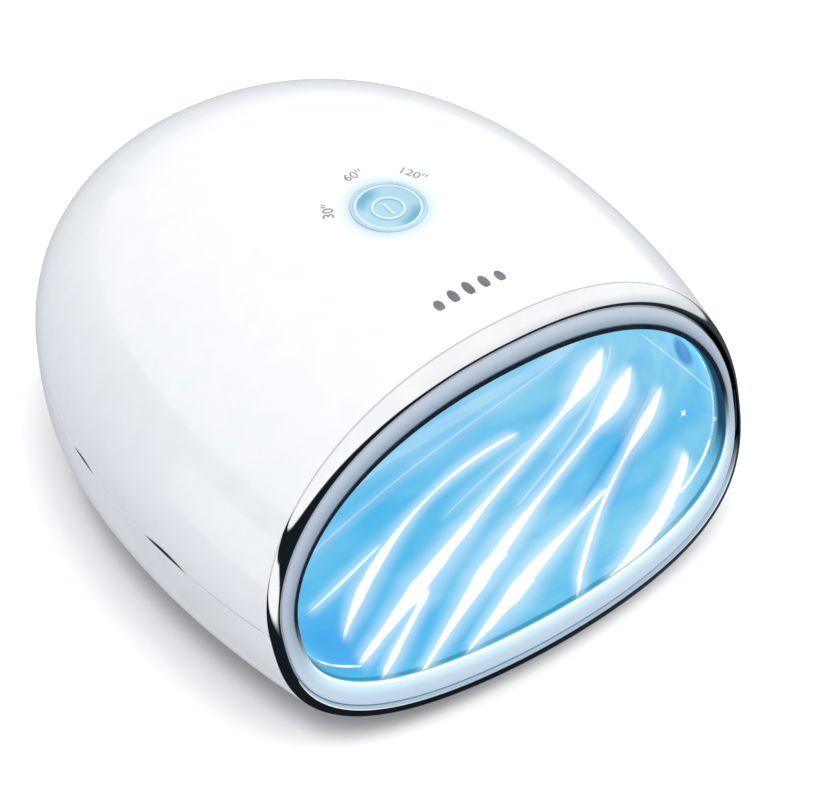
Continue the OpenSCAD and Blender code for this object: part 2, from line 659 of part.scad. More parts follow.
module inlet_pin() {
    color("gold") at_belt() translate([0, inlet_y, inlet_z]) rotate([-90, 0, 0]) {
        translate([0, 0, -inlet_root + 0.3]) cylinder(r = jack_pin_r, h = jack_pin_l, $fn = 48);
        translate([0, 0, -inlet_root - 3]) cylinder(r = 0.7, h = 3.5, $fn = 32);
    }
}

module housing_screws() {
    color("gray") at_belt() for (p = housing_bosses) translate([p[0], p[1], flat_z + 13])
        pan_screw(2.3, 1.6, 1.15, 30);
}

module rubber_feet() {
    color("dimgray") at_belt() for (p = foot_places) translate([p[0], p[1], -belt_z])
        rotate_extrude($fn = 64) polygon([[0, 0], [foot_r - 0.6, 0], [foot_r, 0.6],
            [foot_r, foot_h + 0.95], [0, foot_h + 0.95]]);
}

top_shell();
bottom_shell();
front_bezel();
face_ring();
reflector_dome();
reflector_floor();
reflector_screws();
roof_led_board();
left_led_board();
right_led_board();
roof_leds();
left_leds();
right_leds();
roof_board_screws();
side_board_screws();
button_cap();
button_light_ring();
button_holder();
button_holder_screws();
tact_switch();
switch_plunger();
control_board();
control_board_screws();
timer_chip();
driver_coil();
smoothing_capacitors();
indicator_leds();
timer_light_pipes();
wire_sockets();
power_wires();
led_wires();
power_inlet();
inlet_pin();
housing_screws();
rubber_feet();
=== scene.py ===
"""Looks for a dome lamp that cures gel under ultraviolet LEDs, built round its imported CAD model."""
import math

import bmesh
import bpy
import numpy as np
from mathutils import Matrix, Vector


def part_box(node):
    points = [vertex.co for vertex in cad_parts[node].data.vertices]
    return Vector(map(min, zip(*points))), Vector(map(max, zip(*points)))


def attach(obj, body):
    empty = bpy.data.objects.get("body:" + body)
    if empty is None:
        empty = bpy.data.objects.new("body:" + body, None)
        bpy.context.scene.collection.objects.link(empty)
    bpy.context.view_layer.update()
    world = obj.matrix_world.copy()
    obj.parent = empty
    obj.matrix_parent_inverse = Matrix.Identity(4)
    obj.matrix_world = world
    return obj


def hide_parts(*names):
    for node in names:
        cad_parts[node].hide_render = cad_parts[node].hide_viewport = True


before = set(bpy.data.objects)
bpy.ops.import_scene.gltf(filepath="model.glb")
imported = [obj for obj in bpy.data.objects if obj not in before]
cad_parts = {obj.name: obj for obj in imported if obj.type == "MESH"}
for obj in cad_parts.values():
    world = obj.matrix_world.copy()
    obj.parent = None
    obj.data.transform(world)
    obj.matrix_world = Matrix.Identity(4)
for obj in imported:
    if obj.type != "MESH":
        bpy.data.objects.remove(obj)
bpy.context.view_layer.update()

MM = 0.001
TAU = 2 * math.pi
BORE_SIDES = 96
TURNED_SIDES = 200
WELD = 0.002 * MM
SHARP = math.radians(35)
SOLVE_STEPS = 30
BISECTIONS = 40

# Sizes of the frame. Ovals have a half width, a height up and a height down.
_, top_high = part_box("top_shell")
belly_low, belly_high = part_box("bottom_shell")
bezel_low, bezel_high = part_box("front_bezel")
glow_low, glow_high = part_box("button_light_ring")
_, cap_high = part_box("button_cap")

# Seams: the gap at the belt and how high the lip stands beside it, the depth of the front one.
SEAM_GAP = 0.25 * MM
LIP_H = 1.6 * MM
SEAM_D = 0.93 * MM
SHELL_T = 2.5 * MM
SHELL_L = 192 * MM
BELT = belly_high.z + SEAM_GAP
BODY_Y = top_high.y - SHELL_L
FACE_Y = BODY_Y - SEAM_D
FLAT_Z = belly_low.z - BELT
# Widths beside, above and below: of the chrome band and of the face ring.
BAND = (3.1 * MM, 6.5 * MM, 3.4 * MM)
RING = (4.2 * MM, 6.3 * MM, 7.1 * MM)
FACE = (bezel_high.x - BAND[0], bezel_high.z - BELT - BAND[1], BELT - bezel_low.z - BAND[2])
BODY_FRONT = tuple(f + b for f, b in zip(FACE, BAND))
BODY_MOST = (top_high.x, top_high.z - BELT, 37.5 * MM)
# Stations of the widest sections, and how the body closes behind them.
BODY_MOST_AT = (0.37, 0.4, 0.4)
BODY_CURVES = ((2.36, 2.27), (2.2, 2.22), (2.38, 1.94))
# Exponents of an oval: across and up for its upper half, then for its lower half.
FRONT_POWERS = (2.13, 1.81, 5, 3.04)
BACK_POWERS = (2.08, 2.08, 4.86, 4.86)
# The front plane leans back, sweeps back to both sides and bows; the body loses that towards its back.
FACE_LEAN = math.radians(19.9)
FACE_SWEEP = 12.7 * MM
FACE_CROWN = 2.8 * MM
LEAN_FADE = 3
# Station and length of each slot.
SLOTS = ((0.24, 21 * MM), (0.485, 15 * MM))
SLOT_H = 1.5 * MM
GLOW_R = 10.6 * MM
CAP_R = 9.6 * MM
BUTTON = Vector(((glow_low.x + glow_high.x) / 2, (glow_low.y + glow_high.y) / 2, glow_high.z))


def mix(a, b, k):
    return a + (b - a) * k


def swell(s, front, most, at, curve):
    """Grows from front to most at station `at`, then closes along a squared curve."""
    rise = most - (most - front) * ((at - s) / at) ** 2
    past = np.clip((s - at) / (1 - at), 0, 1)
    return np.where(s <= at, rise, most * (1 - past ** curve[0]) ** (1 / curve[1]))


def lean(x, z):
    """How far back a point of the front plane lies."""
    return z * math.tan(FACE_LEAN) + FACE_SWEEP * (x / FACE[0]) ** 2 + FACE_CROWN * (z / FACE[1]) ** 2


def oval(size, a, powers):
    """Point of a squared oval in the direction a."""
    c, s = np.cos(a), np.sin(a)
    n_x = np.where(s >= 0, powers[0], powers[2])
    n_z = np.where(s >= 0, powers[1], powers[3])
    k = np.abs(c) ** n_x + np.abs(s) ** n_z
    return size[0] * c / k ** (1 / n_x), np.where(s >= 0, size[1], size[2]) * s / k ** (1 / n_z)


def front_pt(g, d, a):
    """Point of the front rings at place g (1 bezel seam, 0 face ring's edge, -1 opening), depth d."""
    size = [f + g * np.where(g > 0, b, r) for f, b, r in zip(FACE, BAND, RING)]
    x, z = oval(size, a, FRONT_POWERS)
    return np.stack(np.broadcast_arrays(x, FACE_Y + d + lean(x, z), BELT + z), -1)


def body_size(s, t):
    """Half width, height up and height down of the section at station s, t below the skin."""
    return [swell(s, f - t, m - t, at, c)
            for f, m, at, c in zip(BODY_FRONT, BODY_MOST, BODY_MOST_AT, BODY_CURVES)]


def body_powers(s):
    """Exponents of the oval at station s."""
    return [mix(f, b, s) for f, b in zip(FRONT_POWERS, BACK_POWERS)]


def body_pt(s, a, t=0.0):
    """Point of the shells' skin at station s and angle a, t below the skin."""
    x, z = oval(body_size(s, t), a, body_powers(s))
    y = BODY_Y + s * (SHELL_L - t) + lean(x, z) * (1 - s) ** LEAN_FADE
    return np.stack(np.broadcast_arrays(x, y, BELT + np.maximum(z, FLAT_Z + t)), -1)


def station(x, y, z):
    """Station whose section passes through a point; z is above the belt."""
    s = np.full(np.shape(y), 0.4)
    for _ in range(SOLVE_STEPS):
        s = np.clip((y - BODY_Y - lean(x, z) * (1 - s) ** LEAN_FADE) / SHELL_L, 0, 0.9999)
    return s


def roof_height(x, y):
    """Height of the dome's skin over (x, y)."""
    z = np.full(np.shape(x), BODY_MOST[1])
    for _ in range(SOLVE_STEPS):
        s = station(x, y, z)
        size, powers = body_size(s, 0), body_powers(s)
        z = size[1] * (1 - np.abs(x / size[0]) ** powers[0]) ** (1 / powers[1])
    return BELT + z


def crowded(count):
    """Places from 0 to 1 that crowd towards 1, where a shape closes."""
    return 1 - (1 - np.linspace(0, 1, count)) ** 1.9


def excess(p):
    """Above 0 outside the shells' skin and below 0 inside it."""
    x, y, z = p[:, 0], p[:, 1], p[:, 2] - BELT
    s = station(x, y, z)
    size, powers = body_size(s, 0), body_powers(s)
    n_x = np.where(z >= 0, powers[0], powers[2])
    n_z = np.where(z >= 0, powers[1], powers[3])
    return np.abs(x / size[0]) ** n_x + np.abs(z / np.where(z >= 0, size[1], size[2])) ** n_z - 1


# Meshes

def put(name, data):
    """New object in the scene."""
    o = bpy.data.objects.new(name, data)
    bpy.context.scene.collection.objects.link(o)
    return o


def evaluated_mesh(o):
    """Mesh of an object with its modifiers applied; the object itself goes."""
    mesh = bpy.data.meshes.new_from_object(o.evaluated_get(bpy.context.evaluated_depsgraph_get()))
    bpy.data.objects.remove(o)
    return mesh


def coords(mesh):
    """Places of a mesh's points."""
    co = np.empty(len(mesh.vertices) * 3)
    mesh.vertices.foreach_get("co", co)
    return co.reshape(-1, 3)


def make_mesh(name, points, faces):
    """Mesh with doubled points welded and its faces turned outwards."""
    mesh = bpy.data.meshes.new(name)
    mesh.from_pydata(np.asarray(points).reshape(-1, 3).tolist(), [], faces)
    bm = bmesh.new()
    bm.from_mesh(mesh)
    bmesh.ops.remove_doubles(bm, verts=bm.verts, dist=WELD)
    bmesh.ops.dissolve_degenerate(bm, edges=bm.edges, dist=0.001 * MM)
    bmesh.ops.recalc_face_normals(bm, faces=bm.faces)
    bm.to_mesh(mesh)
    bm.free()
    return mesh


def make_piece(name, mesh, mat, body="housing", replaces=()):
    """Object that rides on a body, stands for CAD nodes and takes its finish from a slot."""
    mesh.shade_smooth()
    mesh.set_sharp_from_angle(angle=SHARP)
    piece = put(name, mesh)
    for m in mat if isinstance(mat, list) else [mat]:
        mesh.materials.append(m)
    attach(piece, body)
    if replaces:
        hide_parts(*replaces)


def loop_faces(rows, cols, close_rows=False):
    """Quads between rows of a grid whose columns form a closed loop."""
    last = rows if close_rows else rows - 1
    return [(i * cols + c, i * cols + (c + 1) % cols,
             (i + 1) % rows * cols + (c + 1) % cols, (i + 1) % rows * cols + c)
            for i in range(last) for c in range(cols)]


def capped(rows):
    """Points and faces of a solid from its closed rows, the first and the last filled."""
    count, cols = len(rows), len(rows[0])
    ends = [tuple(range(cols)), tuple(range((count - 1) * cols, count * cols))]
    return np.reshape(rows, (-1, 3)), loop_faces(count, cols) + ends


def lathe(profile, count, origin=(0, 0, 0), turn=Matrix.Identity(3)):
    """Points and faces of a profile [radius, height] turned about Z, then turned and moved."""
    profile = np.asarray(profile, float)
    a = np.arange(count) * TAU / count
    points = np.stack([profile[:, None, 0] * np.cos(a), profile[:, None, 0] * np.sin(a),
                       np.repeat(profile[:, None, 1], count, 1)], -1)
    return points.reshape(-1, 3) @ np.array(turn).T + np.array(origin), loop_faces(len(profile), count)


def joined(parts):
    """One list of points and one of faces from several."""
    points, faces = [], []
    for p, f in parts:
        start = sum(len(q) for q in points)
        points.append(p)
        faces += [tuple(i + start for i in face) for face in f]
    return np.concatenate(points), faces


def boolean(mesh, tool, operation):
    """Result of a boolean between two meshes."""
    base, other = put("tmp", mesh), put("tmp", tool)
    modifier = base.modifiers.new("cut", "BOOLEAN")
    modifier.operation, modifier.object, modifier.solver = operation, other, "EXACT"
    result = evaluated_mesh(base)
    bpy.data.objects.remove(other)
    return result


def rounded(points, steps):
    """Open outline with its corners cut again and again; its two ends stay."""
    for _ in range(steps):
        p = np.asarray(points, float)
        cut = np.stack([mix(p[:-1], p[1:], 0.25), mix(p[:-1], p[1:], 0.75)], 1).reshape(-1, 2)
        points = np.concatenate([p[:1], cut[1:-1], p[-1:]])
    return points


def finish_skin(mesh):
    """Gives the skin's corners the exact surface's normal and the walls in the seam material 1, the painted
    seam shade.
    """
    co = coords(mesh)
    near = 0.02 * MM
    grad = np.stack([excess(co + near * e) - excess(co - near * e) for e in np.eye(3)], -1) / (2 * near)
    size = np.maximum(np.linalg.norm(grad, axis=1), 1e-9)
    grad /= size[:, None]
    depth = -excess(co) / size
    behind = top_high.y - co[:, 1]
    above = co[:, 2] - BELT
    on_skin = np.abs(depth) < near
    on_skin &= (np.abs(co[:, 0]) > 0.5 * MM) | (behind > 1 * MM)
    on_skin &= above > FLAT_Z + 0.1 * MM
    in_seam = (depth > 0.2 * MM) & (np.abs(above) < LIP_H + 0.6 * MM) & (behind > 2 * MM)
    corners = np.zeros((len(mesh.loops), 3))
    for face in mesh.polygons:
        normal = np.array(face.normal)
        face.material_index = int(all(in_seam[v] for v in face.vertices))
        for loop, v in zip(face.loop_indices, face.vertices):
            if on_skin[v] and normal @ grad[v] > 0.9:
                corners[loop] = grad[v]
    mesh.normals_split_custom_set(corners.tolist())


# Shells

STATIONS = crowded(331)
DOME_COLS = 150
BELLY_COLS = 110
EDGE = 0.3 * MM
EDGE_STEPS = np.radians([22.5, 45, 67.5, 90])
STEP_AT = 0.45
WALL_POINTS = len(EDGE_STEPS) + 2


def slot_height(s):
    """Height of the dome's rim at station s, over a slot, and whether s is in a slot."""
    height, inside = 0.0, False
    for at, length in SLOTS:
        off = abs(s - at) * SHELL_L
        if off < length / 2:
            r = (length ** 2 / 4 + SLOT_H ** 2) / (2 * SLOT_H)
            height, inside = SLOT_H - r + math.sqrt(r ** 2 - off ** 2), True
    return height, inside


def angle_at(s, z, t):
    """Angle in the right half whose height over the belt is z."""
    low, high = (0, 0.8) if z >= 0 else (-0.8, 0)
    for _ in range(BISECTIONS):
        a = (low + high) / 2
        low, high = (a, high) if body_pt(s, a, t)[2] - BELT < z else (low, a)
    return a


def half_section(s, sign, rim, step, cols):
    """Closed section of a shell at station s: skin, rounded rim, stepped wall, inner skin.

    sign is 1 for the dome and -1 for the belly; rim and step are the heights of the rim's outer and
    inner halves, which meet at STEP_AT of the wall.
    """
    def arc(z, t):
        a0 = angle_at(s, z, t)
        end = math.pi - a0 if sign > 0 else -math.pi - a0
        return body_pt(s, np.linspace(a0, end, cols), t)

    outer = arc(rim + sign * EDGE, 0)
    inner = arc(step, SHELL_T)
    corner, across = outer[0] - [0, 0, sign * EDGE], inner[0] - outer[0]
    across[2] = 0
    wall = np.linalg.norm(across)
    across = across / wall if wall > 1e-9 else across
    bend = [corner + across * EDGE * (1 - math.cos(t)) + [0, 0, sign * EDGE * (1 - math.sin(t))]
            for t in EDGE_STEPS]
    middle = corner + across * wall * STEP_AT
    right = np.array([*bend, middle, [middle[0], middle[1], BELT + step]])
    left = right * [-1, 1, 1]
    return np.concatenate([right[::-1], outer, left, inner[::-1]])


def dome_section(s):
    rim, inside = slot_height(s)
    return half_section(s, 1, rim, rim if inside else -LIP_H, DOME_COLS)


def belly_section(s):
    return half_section(s, -1, -SEAM_GAP, -LIP_H - SEAM_GAP, BELLY_COLS)


def shell_mesh(name, section):
    rows = [section(s) for s in STATIONS]
    faces = loop_faces(len(rows), len(rows[0]))
    return make_mesh(name, np.concatenate(rows), faces + front_cap(rows[0]))


def front_cap(row):
    """Quads that join the skin to the inner skin at the front seam."""
    count, wall = len(row), WALL_POINTS
    cols = (count - 2 * wall) // 2
    quads = [(wall + i, wall + i + 1, count - 2 - i, count - 1 - i) for i in range(cols - 1)]
    right = (*range(wall, -1, -1), count - 1)
    left = tuple(range(wall + cols - 1, 2 * wall + cols + 1))
    return quads + [right, left]


ANGLES = np.linspace(0, TAU, 600, endpoint=False)


def ring_mesh(name, section):
    """Ring from its section's points (place, depth), each a number or one number for every angle."""
    points = np.stack([front_pt(np.broadcast_to(g, ANGLES.shape), d, ANGLES) for g, d in section], 1)
    return make_mesh(name, points, loop_faces(len(ANGLES), len(section), close_rows=True))


# The bezel's crest: its place, how far that moves inwards at the top and at the bottom, its height.
CREST_G = 0.35
CREST_UP = 0.13
CREST_DOWN = 0.2
CREST_H = 1.48 * MM
EDGE_ROLL = 0.8 * MM
SEAM_FACE = SEAM_D - 0.05 * MM
# The value "across" goes on growing down the ring's wall: where that starts and the depth of one unit.
RING_FACE_D = 0.5 * MM
RING_WALL_D = 4.3 * MM


def bezel_section():
    """The crest lies nearer the face ring at the top and at the bottom."""
    tall = np.sin(ANGLES)
    crest = CREST_G - CREST_UP * np.maximum(tall, 0) ** 2 - CREST_DOWN * np.maximum(-tall, 0) ** 2
    up = np.radians(np.linspace(90, 0, 15))
    outer = [(crest + (1 - crest) * math.sin(t), SEAM_FACE - CREST_H * math.cos(t)) for t in up]
    inner = [(crest * (1 - k), SEAM_FACE - CREST_H + EDGE_ROLL * k ** 2) for k in np.linspace(0.1, 1, 10)]
    back = [(0, 1.5), (-0.8, 1.5), (-0.8, 3), (-0.3, 3), (-0.3, 9), (0.1, 9)]
    return outer + inner + [(g, d * MM) for g, d in back] + [(0.1, SEAM_FACE)]


def ring_section():
    """Rounded face, then the wall that turns in round the opening, then the back."""
    face = [(-0.02, 1.45), (-0.02, 0.3), (-0.12, 0.05), (-0.5, -0.1), (-0.88, 0), (-1.02, 0.3), (-1.08, 0.9),
            (-1.08, 2), (-1.08, 3), (-1.08, 4.8)]
    back = [(-0.88, 4.8), (-0.88, 1.45)]
    return [(g, d * MM) for g, d in [*rounded(face, 4), *back]]


def put_values(mesh, name, values):
    """Stores one number for every point of a mesh, for its material to read."""
    mesh.attributes.new(name, "FLOAT", "POINT").data.foreach_set("value", np.ravel(values).astype(np.float32))


# Materials

class Shader:
    """Node material built round a Principled BSDF. Texture places are in metres."""

    def __init__(self, name, colour=(0.8, 0.8, 0.8), rough=0.4, **inputs):
        self.material = bpy.data.materials.new(name)
        self.material.use_nodes = True
        self.nodes, self.links = self.material.node_tree.nodes, self.material.node_tree.links
        self.bsdf = self.nodes["Principled BSDF"]
        self.set("Base Color", colour)
        self.set("Roughness", rough)
        for key, value in inputs.items():
            self.set(key.replace("_", " "), value)
        self.place = self.add("ShaderNodeTexCoord").outputs["Object"]

    def add(self, kind, inputs=(), **settings):
        node = self.nodes.new(kind)
        for key, value in settings.items():
            setattr(node, key, value)
        for socket, value in zip(node.inputs, inputs):
            self.feed(socket, value)
        return node

    def feed(self, socket, value):
        if isinstance(value, bpy.types.NodeSocket):
            self.links.new(value, socket)
        elif isinstance(value, (tuple, list)) and socket.type == "RGBA":
            socket.default_value = (*value, 1)[:4]
        elif value is not None:
            socket.default_value = value

    def feed_all(self, node, **inputs):
        for name, value in inputs.items():
            self.feed(node.inputs[name], value)

    def set(self, name, value):
        self.feed(self.bsdf.inputs[name], value)

    def math(self, operation, *values):
        return self.add("ShaderNodeMath", values, operation=operation).outputs[0]

    def times(self, a, b):
        return self.math("MULTIPLY", a, b)

    def minus(self, a, b):
        return self.math("SUBTRACT", a, b)

    def gap(self, a, b):
        return self.math("ABSOLUTE", self.minus(a, b))

    def larger(self, a, b):
        return self.math("MAXIMUM", a, b)

    def vector(self, operation, *values, out=0):
        return self.add("ShaderNodeVectorMath", values, operation=operation).outputs[out]

    def offset(self, point):
        """Offset from a point, as a vector."""
        return self.vector("SUBTRACT", self.place, tuple(point))

    def step(self, value, low, high, to_low=0.0, to_high=1.0):
        """Smooth step of a value from to_low at low to to_high at high."""
        return self.add("ShaderNodeMapRange", (value, low, high, to_low, to_high),
                        interpolation_type="SMOOTHSTEP").outputs[0]

    def xyz(self, vector=None):
        """The three parts of a vector, or of the place itself."""
        return self.add("ShaderNodeSeparateXYZ", (self.place if vector is None else vector,)).outputs[:3]

    def noise(self, scale, detail=3.0, stretch=(1, 1, 1), low=0.35, high=0.65):
        """Noise from 0 to 1 with `scale` bumps to a metre."""
        node = self.add("ShaderNodeTexNoise")
        at = self.vector("MULTIPLY", self.place, stretch)
        self.feed_all(node, Vector=at, Scale=scale, Detail=detail)
        return self.step(node.outputs[0], low, high)

    def blend(self, factor, a, b):
        node = self.add("ShaderNodeMix", data_type="RGBA")
        for name, value in (("Factor", factor), ("A", a), ("B", b)):
            self.feed(next(s for s in node.inputs if s.name == name and s.enabled), value)
        return next(s for s in node.outputs if s.enabled)

    def bump(self, height, strength, distance):
        node = self.add("ShaderNodeBump")
        self.feed_all(node, Height=height, Strength=strength, Distance=distance)
        self.set("Normal", node.outputs[0])

    def glow(self, colour, strength):
        self.set("Emission Color", colour)
        self.set("Emission Strength", strength)

    def grain(self, scale, dark, light, rough, strength):
        """Colour and roughness that vary over a moulded or cast surface, with a fine bump."""
        colour = self.blend(self.noise(scale / 12, 2), dark, light)
        fine = self.noise(scale, 4)
        self.set("Base Color", colour)
        self.set("Roughness", self.step(fine, 0, 1, *rough))
        self.bump(fine, strength, 0.02 * MM)
        return colour

    def value(self, name):
        """Number stored with the mesh by put_values."""
        return self.add("ShaderNodeAttribute", attribute_name=name).outputs["Fac"]

    def distance(self, centre, flat=True):
        """Distance from a point, or from the upright axis through it."""
        v = self.offset(centre)
        if flat:
            v = self.vector("MULTIPLY", v, (1, 1, 0))
        return self.vector("LENGTH", v, out=1)


WHITE = (1.0, 1.0, 1.0)


def glossy_white(name):
    """Shader of the glossy white shells and its colour."""
    s = Shader(name, Coat_Weight=0.5, Coat_Roughness=0.04)
    return s, s.grain(1600, (0.882, 0.892, 0.91), (0.90, 0.908, 0.925), (0.16, 0.22), 0.015)


def white_shell():
    """Glossy white, with a painted blue glow round the lit button."""
    s, colour = glossy_white("white_shell")
    # Painted glow of the lit button on the shell round it.
    painted_button_glow = s.step(s.distance(BUTTON), GLOW_R + 5 * MM, GLOW_R - 1 * MM, 0, 0.75)
    s.set("Base Color", s.blend(painted_button_glow, colour, (0.50, 0.68, 0.84)))
    return s.material


def white_shell_below():
    return glossy_white("white_shell_below")[0].material


def seam_shadow():
    """Painted shade on the walls down in the seam, where little light reaches."""
    return moulded("seam_shadow", (0.08, 0.09, 0.105), (0.12, 0.135, 0.155), (0.5, 0.7), 1200, 0.05)


def chrome_band():
    """Polished metal; its inner slope carries a painted reflection of the pale ring below and a painted dark
    reflection on the right.
    """
    s = Shader("chrome_band", Metallic=1.0)
    colour = s.grain(900, (0.90, 0.91, 0.93), (0.95, 0.955, 0.96), (0.015, 0.035), 0.01)
    place = s.value("across")
    x, _, z = s.xyz()
    # Painted reflection of the pale ring on the inner slope, below the belt.
    below = s.times(s.step(place, 0.18, 0.12), s.step(z, BELT, BELT - 18 * MM))
    colour = s.blend(below, colour, (0.42, 0.54, 0.66))
    # Painted dark reflection on the inner slope, on the right.
    right = s.times(s.step(place, 0.42, 0.36), s.step(x, 62 * MM, 72 * MM))
    right = s.times(right, s.step(z, BELT - 26 * MM, BELT - 14 * MM))
    colour = s.blend(right, colour, (0.03, 0.035, 0.045))
    outer_edge = s.step(place, 0.972, 0.985)
    s.set("Base Color", s.blend(outer_edge, colour, (0.62, 0.63, 0.65)))
    return s.material


def satin_ring():
    """Pearl ring with painted light and shade: painted shade darkens its face towards the opening above,
    ending in a dark band at the inner edge, and painted light from the cavity brightens its lower part and
    lip, which glow.
    """
    s = Shader("satin_ring", Metallic=0.1, Coat_Roughness=0.2)
    across = s.value("across")
    # low marks the lower part of the ring, where the painted cavity light falls.
    low = s.step(s.xyz()[2], BELT + 4 * MM, BELT - 20 * MM)
    # Above, painted shade darkens the face towards the opening; below, painted light from the cavity
    # brightens it.
    upper = s.blend(s.step(across, 0.15, 0.85), (0.52, 0.60, 0.70), (0.27, 0.36, 0.47))
    lower = s.blend(s.step(across, 0.4, 0.9), (0.52, 0.65, 0.76), (0.66, 0.84, 0.90))
    # Painted light on the lip below: pale at first, teal deeper in.
    painted_lit_lip = s.blend(s.step(across, 1.01, 1.05), (0.78, 0.95, 1.0), (0.05, 0.32, 0.45))
    # At the inner edge: a painted dark band above, the painted lit lip below.
    edge = s.minus(across, s.step(low, 0, 1, 0.68, 0.88))
    edge = s.step(edge, 0, 0.12)
    colour = s.blend(edge, s.blend(low, upper, lower), s.blend(low, (0.004, 0.008, 0.016), painted_lit_lip))
    fine = s.noise(2600, 4)
    s.set("Base Color", s.blend(s.times(fine, 0.06), colour, (0.3, 0.36, 0.45)))
    s.set("Roughness", s.step(fine, 0, 1, 0.3, 0.42))
    shine = s.larger(low, s.minus(1, edge))
    s.set("Coat Weight", s.times(shine, 0.3))
    s.set("Specular IOR Level", s.times(shine, 0.5))
    # Painted glow of the cavity's light on the lower part and the lip.
    s.glow(colour, s.times(low, s.step(edge, 0, 1, 0.2, 0.45)))
    s.bump(fine, 0.04, 0.01 * MM)
    return s.material


def streak(s, x, y, uneven, bow, ends, widest, thin, glow):
    """Brightness of one curved painted reflection in the cavity: core, haze and faded ends."""
    middle, slope, curve = bow
    start, end = (at * MM for at in ends)
    peak, wide, far_share = widest[0] * MM, widest[1] * MM, widest[2]
    line = s.math("MULTIPLY_ADD", x, s.math("MULTIPLY_ADD", x, curve / MM, slope), middle * MM)
    off = s.gap(y, line)
    lower = s.times(s.step(x, start, peak), s.step(x, peak + 42 * MM, peak))
    upper = s.times(s.step(x, end - 34 * MM, end - 15 * MM), s.step(x, end - 1 * MM, end - 13 * MM))
    upper = s.times(upper, far_share)
    half = s.math("MULTIPLY_ADD", s.larger(lower, upper), wide - thin * MM, thin * MM)
    half = s.times(half, uneven)
    core = s.step(s.math("DIVIDE", off, half), 1.25, 0.5)
    haze = s.step(s.math("DIVIDE", off, s.math("ADD", half, 1.1 * MM)), 2.5, 0.2, 0, 0.42)
    fade = s.times(s.step(x, start, start + 6 * MM), s.step(x, end, end - 5 * MM))
    return s.times(s.times(s.larger(core, haze), fade), glow)


# Painted curved reflections of the lamps: depth in the middle, slope and bow; where they start and end across
# the cavity; where they are widest, half the width there and the share of it at the far end; half the
# thin width; brightness. Lengths are in millimetres.
STREAKS = (
    ((-42.0, 0.27, -0.0046), (-61, 34), (-42, 2.7, 0.1), 0.5, 0.9),
    ((-41.9, 0.31, 0.0), (-64, -25), (-40, 0.7, 0), 0.35, 0.7),
    ((-57.8, 0.395, -0.0005), (-64, 80), (-28, 3.5, 1.0), 0.7, 1),
    ((-55.7, 0.6, 0.0), (-60, -24), (-46, 1.5, 0), 0.6, 1),
    ((-71.5, 0.45, -0.001), (-50, 82), (-14, 2.8, 1.2), 0.6, 1),
    ((-83.8, 0.35, -0.0008), (-34, 42), (-10, 2.5, 0.1), 0.5, 1),
    ((-103.6, 0.993, -0.0049), (4, 84), (16, 0.9, 3.6), 0.45, 0.95),
    ((-100.4, 0.07, 0.004), (14, 71), (46, 2.9, 0), 0.4, 1),
    ((-31.0, 0.20, -0.001), (-60, 70), (0, 0.5, 0), 0.35, 0.3),
    ((-50.5, 0.30, -0.002), (-10, 78), (30, 0.6, 0.5), 0.35, 0.3),
    ((-24.0, 0.12, -0.001), (-50, 78), (20, 2.5, 0.8), 1.5, 0.22),
    ((-66.0, 0.34, 0.001), (10, 84), (50, 0.7, 0.4), 0.4, 0.35),
)
# Painted dark reflections between them, in the same order.
DARK_STREAKS = (
    ((-88.0, 0.62, -0.002), (24, 80), (50, 0.7, 0.4), 0.4, 0.6),
    ((-93.0, 0.45, 0.001), (20, 76), (46, 0.6, 0), 0.35, 0.5),
    ((-20.0, 0.35, -0.003), (-10, 60), (20, 0.6, 0), 0.4, 0.5),
)


def brightest(s, masks):
    total = masks[0]
    for mask in masks[1:]:
        total = s.larger(total, mask)
    return total


def star(s, at):
    """Small four-pointed painted glint on the cavity's right wall."""
    long, core = 2.3 * MM, 0.6 * MM
    x, y, z = s.xyz(s.offset(at))
    reach = [s.math("SQRT", s.math("ABSOLUTE", c)) for c in (y, z)]
    points = s.step(s.math("ADD", *reach), math.sqrt(long), math.sqrt(core))
    return s.times(points, s.step(s.math("ABSOLUTE", x), 6 * MM, 4 * MM))


# Places of the painted glints.
GLINTS = ((71.5 * MM, -66.8 * MM, 22.9 * MM), (73 * MM, -77.9 * MM, 28.7 * MM))


